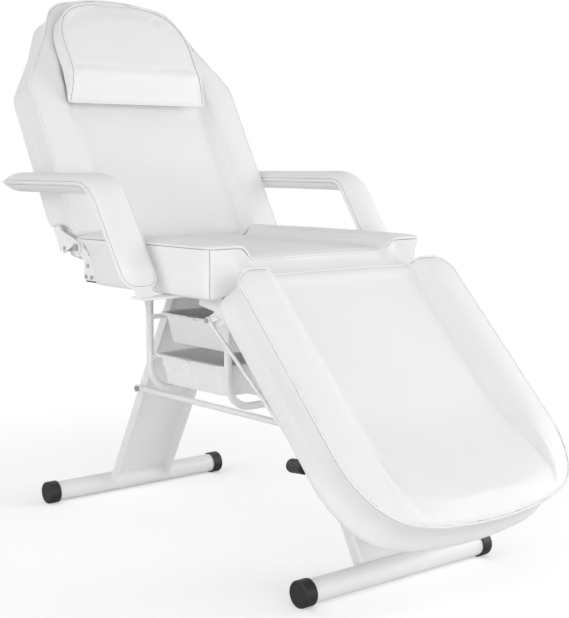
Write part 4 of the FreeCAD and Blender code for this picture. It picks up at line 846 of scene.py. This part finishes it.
leg = foam_form("leg_rest_pad", "leg_cushion", CUSHION_VOXEL)
for v in leg.data.vertices:
    q = LEG_HOME @ v.co
    v.co = LEG_PLACE @ (q + leg_filled(q))
stretch_cover(leg, CUSHION_PRESSURE, CUSHION_CAP, leg_held)
settle(leg, 4, lambda p: above_board((LEG_HOME @ p).z - LEG_BACK))
leg_shares = [(1.0, 0.0), (1.0, 0.76), (0.915, 0.87), (0.78, 0.94), (0.54, 0.98), (0.0, 1.004)]
right = [Vector((SEAT_HALF * a, -LEG_START - LEG_LENGTH * s, LEG_FACE)) for a, s in leg_shares]
leg_corners, leg_radii = both_halves(right, [0.0] * len(right))
leg_reach_shares = [0.09, 0.49, 0.48, 0.48, 0.5, 0.5]
leg_reach_shares += list(reversed(leg_reach_shares[:-1]))
for i, corner in enumerate(leg_corners):
    into = leg_corners[i - 1] - corner
    away = leg_corners[(i + 1) % len(leg_corners)] - corner
    leg_radii[i] = leg_reach_shares[i] * min(into.length, away.length) * math.tan(into.angle(away) / 2)
leg_loop, leg_hem = [], []
for p in dense(round_loop(leg_corners, leg_radii), PATH_PITCH):
    if p.y < -30 * MM or abs(p.x) > 282 * MM or abs(p.x) < 210 * MM:
        leg_hem.append(LEG_PLACE @ Vector((p.x, p.y, LEG_BACK + HEM_LIFT)))
    if p.y > -SUNK_END:
        p.z = sunk_height(p.x, LEG_FACE)
    leg_loop.append(LEG_PLACE @ p)
leg_loop = eased(leg_loop, 2)
draw_to_seams(leg, [leg_loop, leg_hem], SEAM_REACH)
finish_cover(leg, "leg_cushion", "leg_rest", [(leg_loop, LEG_UP)])


# Head pillow: a foam wedge in the same vinyl with an upright side band,
# corded round its front face, held to the backrest by hook-and-loop tape.
PILLOW_LOW = 351 * MM
PILLOW_HEIGHT = 280 * MM
PILLOW_HALF = 199 * MM
PILLOW_THICK = 46.5 * MM
PILLOW_ASIDE = -20 * MM
PILLOW_BASE = BACK_FACE + 12.7 * MM
PILLOW_RIDGE = BACK_START + PILLOW_LOW + PILLOW_HEIGHT * 0.225
PILLOW_VOXEL = 4.5 * MM
PILLOW_CAP = 3 * MM
PILLOW_PRESSURE = 3.0
PILLOW_REACH = 18 * MM
PILLOW_HOLD = 0.85
pillow_shares = [(0.0, 1.0, 0.14), (0.05, 0.99, 0.38), (0.14, 0.97, 0.74), (0.24, 0.96, 0.98),
                 (0.34, 0.95, 1.0), (0.6, 0.95, 0.97), (0.78, 0.86, 0.92), (0.90, 0.68, 0.85),
                 (0.97, 0.42, 0.72), (1.0, 0.25, 0.55)]


def between_rows(rows, steps):
    """More rows on a smooth line through the given ones."""
    result = []
    for i in range(len(rows) - 1):
        p0, p1, p2, p3 = rows[max(i - 1, 0)], rows[i], rows[i + 1], rows[min(i + 2, len(rows) - 1)]
        for k in range(steps):
            t = k / steps
            result.append([0.5 * (2 * b + (c - a) * t + (2 * a - 5 * b + 4 * c - d) * t * t
                                  + (3 * b - a - 3 * c + d) * t * t * t)
                           for a, b, c, d in zip(p0, p1, p2, p3)])
    return result + [list(rows[-1])]


def pillow_loop(into, up):
    """A seam round the pillow at one place on its side band."""
    right = []
    for along, wide, thick in between_rows(pillow_shares, 6):
        depth = PILLOW_THICK * thick
        y = BACK_START + PILLOW_LOW + PILLOW_HEIGHT * along
        right.append(Vector((PILLOW_HALF * wide - depth * into, y, PILLOW_BASE + depth * up)))
    loop = right + [Vector((-p.x, p.y, p.z)) for p in reversed(right)]
    return eased([BACK_PLACE @ (p + Vector((PILLOW_ASIDE, 0, 0))) for p in dense(loop, PATH_PITCH)], 4)


def pillow_held(p, normal):
    """Flat where it lies on the backrest, and upright at its side band."""
    q = BACK_HOME @ p
    n = BACK_HOME.to_3x3() @ normal
    if q.z < PILLOW_BASE + 4 * MM:
        return 1.0
    if q.y < PILLOW_RIDGE + 12 * MM:
        return PILLOW_HOLD
    return PILLOW_HOLD * max(0.0, 1 - abs(n.z) * 1.6)


pillow = foam_form("pillow_pad", "head_pillow", PILLOW_VOXEL)
stretch_cover(pillow, PILLOW_PRESSURE, PILLOW_CAP, pillow_held)
settle(pillow, 3)
pillow_front = pillow_loop(0.06, 0.88)
pillow_rear = pillow_loop(0.02, 0.06)
ridge_height = PILLOW_BASE + PILLOW_THICK
pillow_ridge = [BACK_PLACE @ Vector((PILLOW_ASIDE + PILLOW_HALF * step / 20, PILLOW_RIDGE, ridge_height))
                for step in range(-17, 18)]
draw_to_seams(pillow, [pillow_front, pillow_rear, pillow_ridge], PILLOW_REACH)
# Painted shade: a grey line along the pillow's rear seam stands for the shadow gap under its edge.
finish_cover(pillow, "head_pillow", "head_pillow", [(pillow_front, BACK_UP)],
             [pillow_rear + pillow_rear[:1]])


# Armrests: foam round a bent steel bar, vinyl in two halves sewn edge to
# edge with a cord all round.
ARM_INNER = 312 * MM
ARM_HALF_WIDE = 44 * MM
ARM_HALF_THICK = 23.5 * MM
ARM_HEIGHT = 807 * MM
ARM_REAR = 443 * MM
ARM_BEND_Y = 45.5 * MM
ARM_BEND_RADIUS = 95 * MM
ARM_LOW_Y = -97.65 * MM
ARM_LOW_Z = 594 * MM
ARM_END_ROUND = 34 * MM
ARM_TIP = 1.8
ARM_TURN = math.atan2(ARM_HEIGHT - ARM_LOW_Z, ARM_BEND_Y - ARM_LOW_Y)
arm_reach = ARM_BEND_RADIUS * math.tan(ARM_TURN / 2)
ARM_FLAT = ARM_REAR - ARM_BEND_Y - arm_reach
ARM_SLOPE = math.hypot(ARM_HEIGHT - ARM_LOW_Z, ARM_BEND_Y - ARM_LOW_Y) - arm_reach
ARM_RUN = ARM_FLAT + ARM_BEND_RADIUS * ARM_TURN + ARM_SLOPE
ARM_INNER_RADIUS = 50 * MM
ARM_COLUMNS = 20
ARM_PRESSURE = 3.0
ARM_CAP = 2.5 * MM
ARM_PUCKER_REACH = 30 * MM
ARM_SHADOW_LINE_RADIUS = SHADOW_LINE_RADIUS * 0.7
ARM_SHADOW_LINE_IN = 1.6 * MM
ARM_SHADOW_LINE_LIFT = 6 * MM
CREASE_WIDTH = 4 * MM


def arm_place(run, x, lift):
    """A point of the bent pad: along its run, across it and off its middle."""
    outward = soft_step((abs(x) - ARM_INNER) / (2 * ARM_HALF_WIDE))
    radius = ARM_INNER_RADIUS + (ARM_BEND_RADIUS - ARM_INNER_RADIUS) * outward
    longer = (ARM_BEND_RADIUS - radius) * math.tan(ARM_TURN / 2)
    turn = min(max((run - ARM_FLAT) / ARM_BEND_RADIUS, 0), ARM_TURN)
    normal = Vector((0, -math.sin(turn), math.cos(turn)))
    along = Vector((0, -math.cos(turn), -math.sin(turn)))
    hub = Vector((x, ARM_REAR - ARM_FLAT - longer + FEET_Y, ARM_HEIGHT - radius))
    rest = min(run - ARM_FLAT, 0) * (ARM_FLAT + longer) / ARM_FLAT
    rest += max(run - ARM_FLAT - ARM_BEND_RADIUS * ARM_TURN, 0) * (ARM_SLOPE + longer) / ARM_SLOPE
    return hub + normal * (radius + lift) + along * rest


def arm_runs():
    """Places along the pad, closer together at its rounded ends."""
    near = [ARM_END_ROUND * (1 - math.cos(math.pi * k / 16)) for k in range(9)]
    count = round((ARM_RUN - 2 * ARM_END_ROUND) / (5 * MM))
    middle_runs = [ARM_END_ROUND + (ARM_RUN - 2 * ARM_END_ROUND) * k / count for k in range(1, count)]
    return near + middle_runs + [ARM_RUN - e for e in reversed(near)]


def arm_half_wide(run):
    """Half the pad's width, drawn in round each end."""
    end = min(run, ARM_RUN - run)
    if end >= ARM_END_ROUND:
        return ARM_HALF_WIDE
    return ARM_HALF_WIDE - ARM_END_ROUND + math.sqrt(ARM_END_ROUND ** 2 - (ARM_END_ROUND - end) ** 2)


def arm_half_thick(run):
    """Half the pad's thickness on its middle line: pointed ends, fuller at the bend."""
    reach = ARM_HALF_THICK * ARM_TIP
    radius = ARM_HALF_THICK * (ARM_TIP ** 2 + 1) / 2
    end = min(run, ARM_RUN - run, reach)
    thick = math.sqrt(radius ** 2 - (reach - end) ** 2) - (radius - ARM_HALF_THICK)
    bend = (run - ARM_FLAT - ARM_BEND_RADIUS * ARM_TURN / 2) / (90 * MM)
    return thick * (0.93 + 0.1 * math.exp(-bend * bend) + 0.02 * run / ARM_RUN)


arm_creases = [(ARM_FLAT + ARM_BEND_RADIUS * ARM_TURN * share, depth * MM)
               for share, depth in ((0.12, 1.0), (0.3, 1.8), (0.5, 2.2), (0.68, 1.6), (0.9, 0.9))]


def arm_pad(name, middle_x):
    """The pad as two crowned sheets that meet along the corded edge."""
    runs = arm_runs()
    points, faces = [], []
    index = {}
    for i, run in enumerate(runs):
        for j in range(ARM_COLUMNS + 1):
            across = math.sin(math.pi * (j / ARM_COLUMNS - 0.5))
            edge = i in (0, len(runs) - 1) or j in (0, ARM_COLUMNS)
            full = (1 - abs(across) ** 2.6) ** 0.85 if not edge else 0.0
            thick = arm_half_thick(run) * full
            for layer in ((1,) if edge else (1, -1)):
                lift = thick * layer
                if layer < 0:
                    for place, depth in arm_creases:
                        lift += depth * full * math.exp(-((run - place) / CREASE_WIDTH) ** 2)
                index[i, j, layer] = len(points)
                points.append(arm_place(run, middle_x + arm_half_wide(run) * across, lift))
            if edge:
                index[i, j, -1] = index[i, j, 1]
    for i in range(len(runs) - 1):
        for j in range(ARM_COLUMNS):
            for layer in (1, -1):
                corners = [index[a, b, layer] for a, b in ((i, j), (i + 1, j), (i + 1, j + 1), (i, j + 1))]
                faces.append(corners if layer > 0 else corners[::-1])
    mesh = bpy.data.meshes.new(name)
    mesh.from_pydata(points, [], faces)
    mesh.materials.append(white_vinyl)
    mesh.update()
    return link_mesh(name, mesh)


def arm_held(p, normal):
    """The sewn edge keeps its line."""
    across = abs(abs(p.x) - ARM_INNER - ARM_HALF_WIDE) / ARM_HALF_WIDE
    return 1.0 if across > 0.93 or p.z < ARM_LOW_Z + 20 * MM or p.y > ARM_REAR + FEET_Y - 20 * MM else 0.0


for side, label in ((-1, "left"), (1, "right")):
    middle_x = side * (ARM_INNER + ARM_HALF_WIDE)
    arm = arm_pad("armrest_" + label + "_cover", middle_x)
    stretch_cover(arm, ARM_PRESSURE, ARM_CAP, arm_held)
    settle(arm, 0)
    rows = arm_runs()
    rim = [arm_place(run, middle_x + arm_half_wide(run), 0) for run in rows]
    rim += [arm_place(run, middle_x - arm_half_wide(run), 0) for run in reversed(rows)]
    rim = eased(dense(rim, PATH_PITCH), 1)
    near_seams(arm, rim, ARM_PUCKER_REACH)
    cover = surface_of(arm)
    # Painted shade: grey cords on both faces just inside the corded edge stand for the shadow beside the
    # cord.
    shades = []
    for layer in (1, -1):
        shade = []
        for run, sign in [(r, 1) for r in rows] + [(r, -1) for r in reversed(rows)]:
            wide = max(arm_half_wide(run) - ARM_SHADOW_LINE_IN, 1 * MM)
            along = min(max(run, ARM_SHADOW_LINE_IN), ARM_RUN - ARM_SHADOW_LINE_IN)
            shade.append(arm_place(along, middle_x + sign * wide, layer * ARM_SHADOW_LINE_LIFT))
        shades.append((laid(dense(shade, PATH_PITCH), cover), True))
    follow(arm.name + "_piping", [(rim, True)], cord_nodes,
           {"Radius": PIPING_RADIUS, "Finish": white_vinyl}, "base")
    follow(arm.name + "_painted_seam_shadows", shades, cord_nodes,
           {"Radius": ARM_SHADOW_LINE_RADIUS, "Finish": seam_shade}, "base")
    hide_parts("armrest_pad_" + label)
    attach(arm, "base")


# Hook-and-loop tape between the pillow and the backrest: woven nylon with
# a dense field of loops on one strip and stiff hooks on the other.
tape, tree = new_material("white_hook_and_loop_tape")
place = add(tree, "ShaderNodeTexCoord")
nap = add(tree, "ShaderNodeTexVoronoi", {}, {"Vector": place.outputs["Object"], "Scale": 700.0})
tone = add(tree, "ShaderNodeMixRGB", {},
           {0: nap.outputs["Distance"], 1: linear("#dcdcda"), 2: linear("#f0f0ee")})
bump = add(tree, "ShaderNodeBump", {},
           {"Height": nap.outputs["Distance"], "Strength": 0.6, "Distance": 0.0006})
shader = add(tree, "ShaderNodeBsdfPrincipled", {},
             {"Base Color": tone.outputs[0], "Roughness": 0.9, "Normal": bump.outputs[0],
              "Sheen Weight": 0.4})
add(tree, "ShaderNodeOutputMaterial", {}, {"Surface": shader.outputs[0]})
dress([n for n in nodes if "tape" in n], tape)
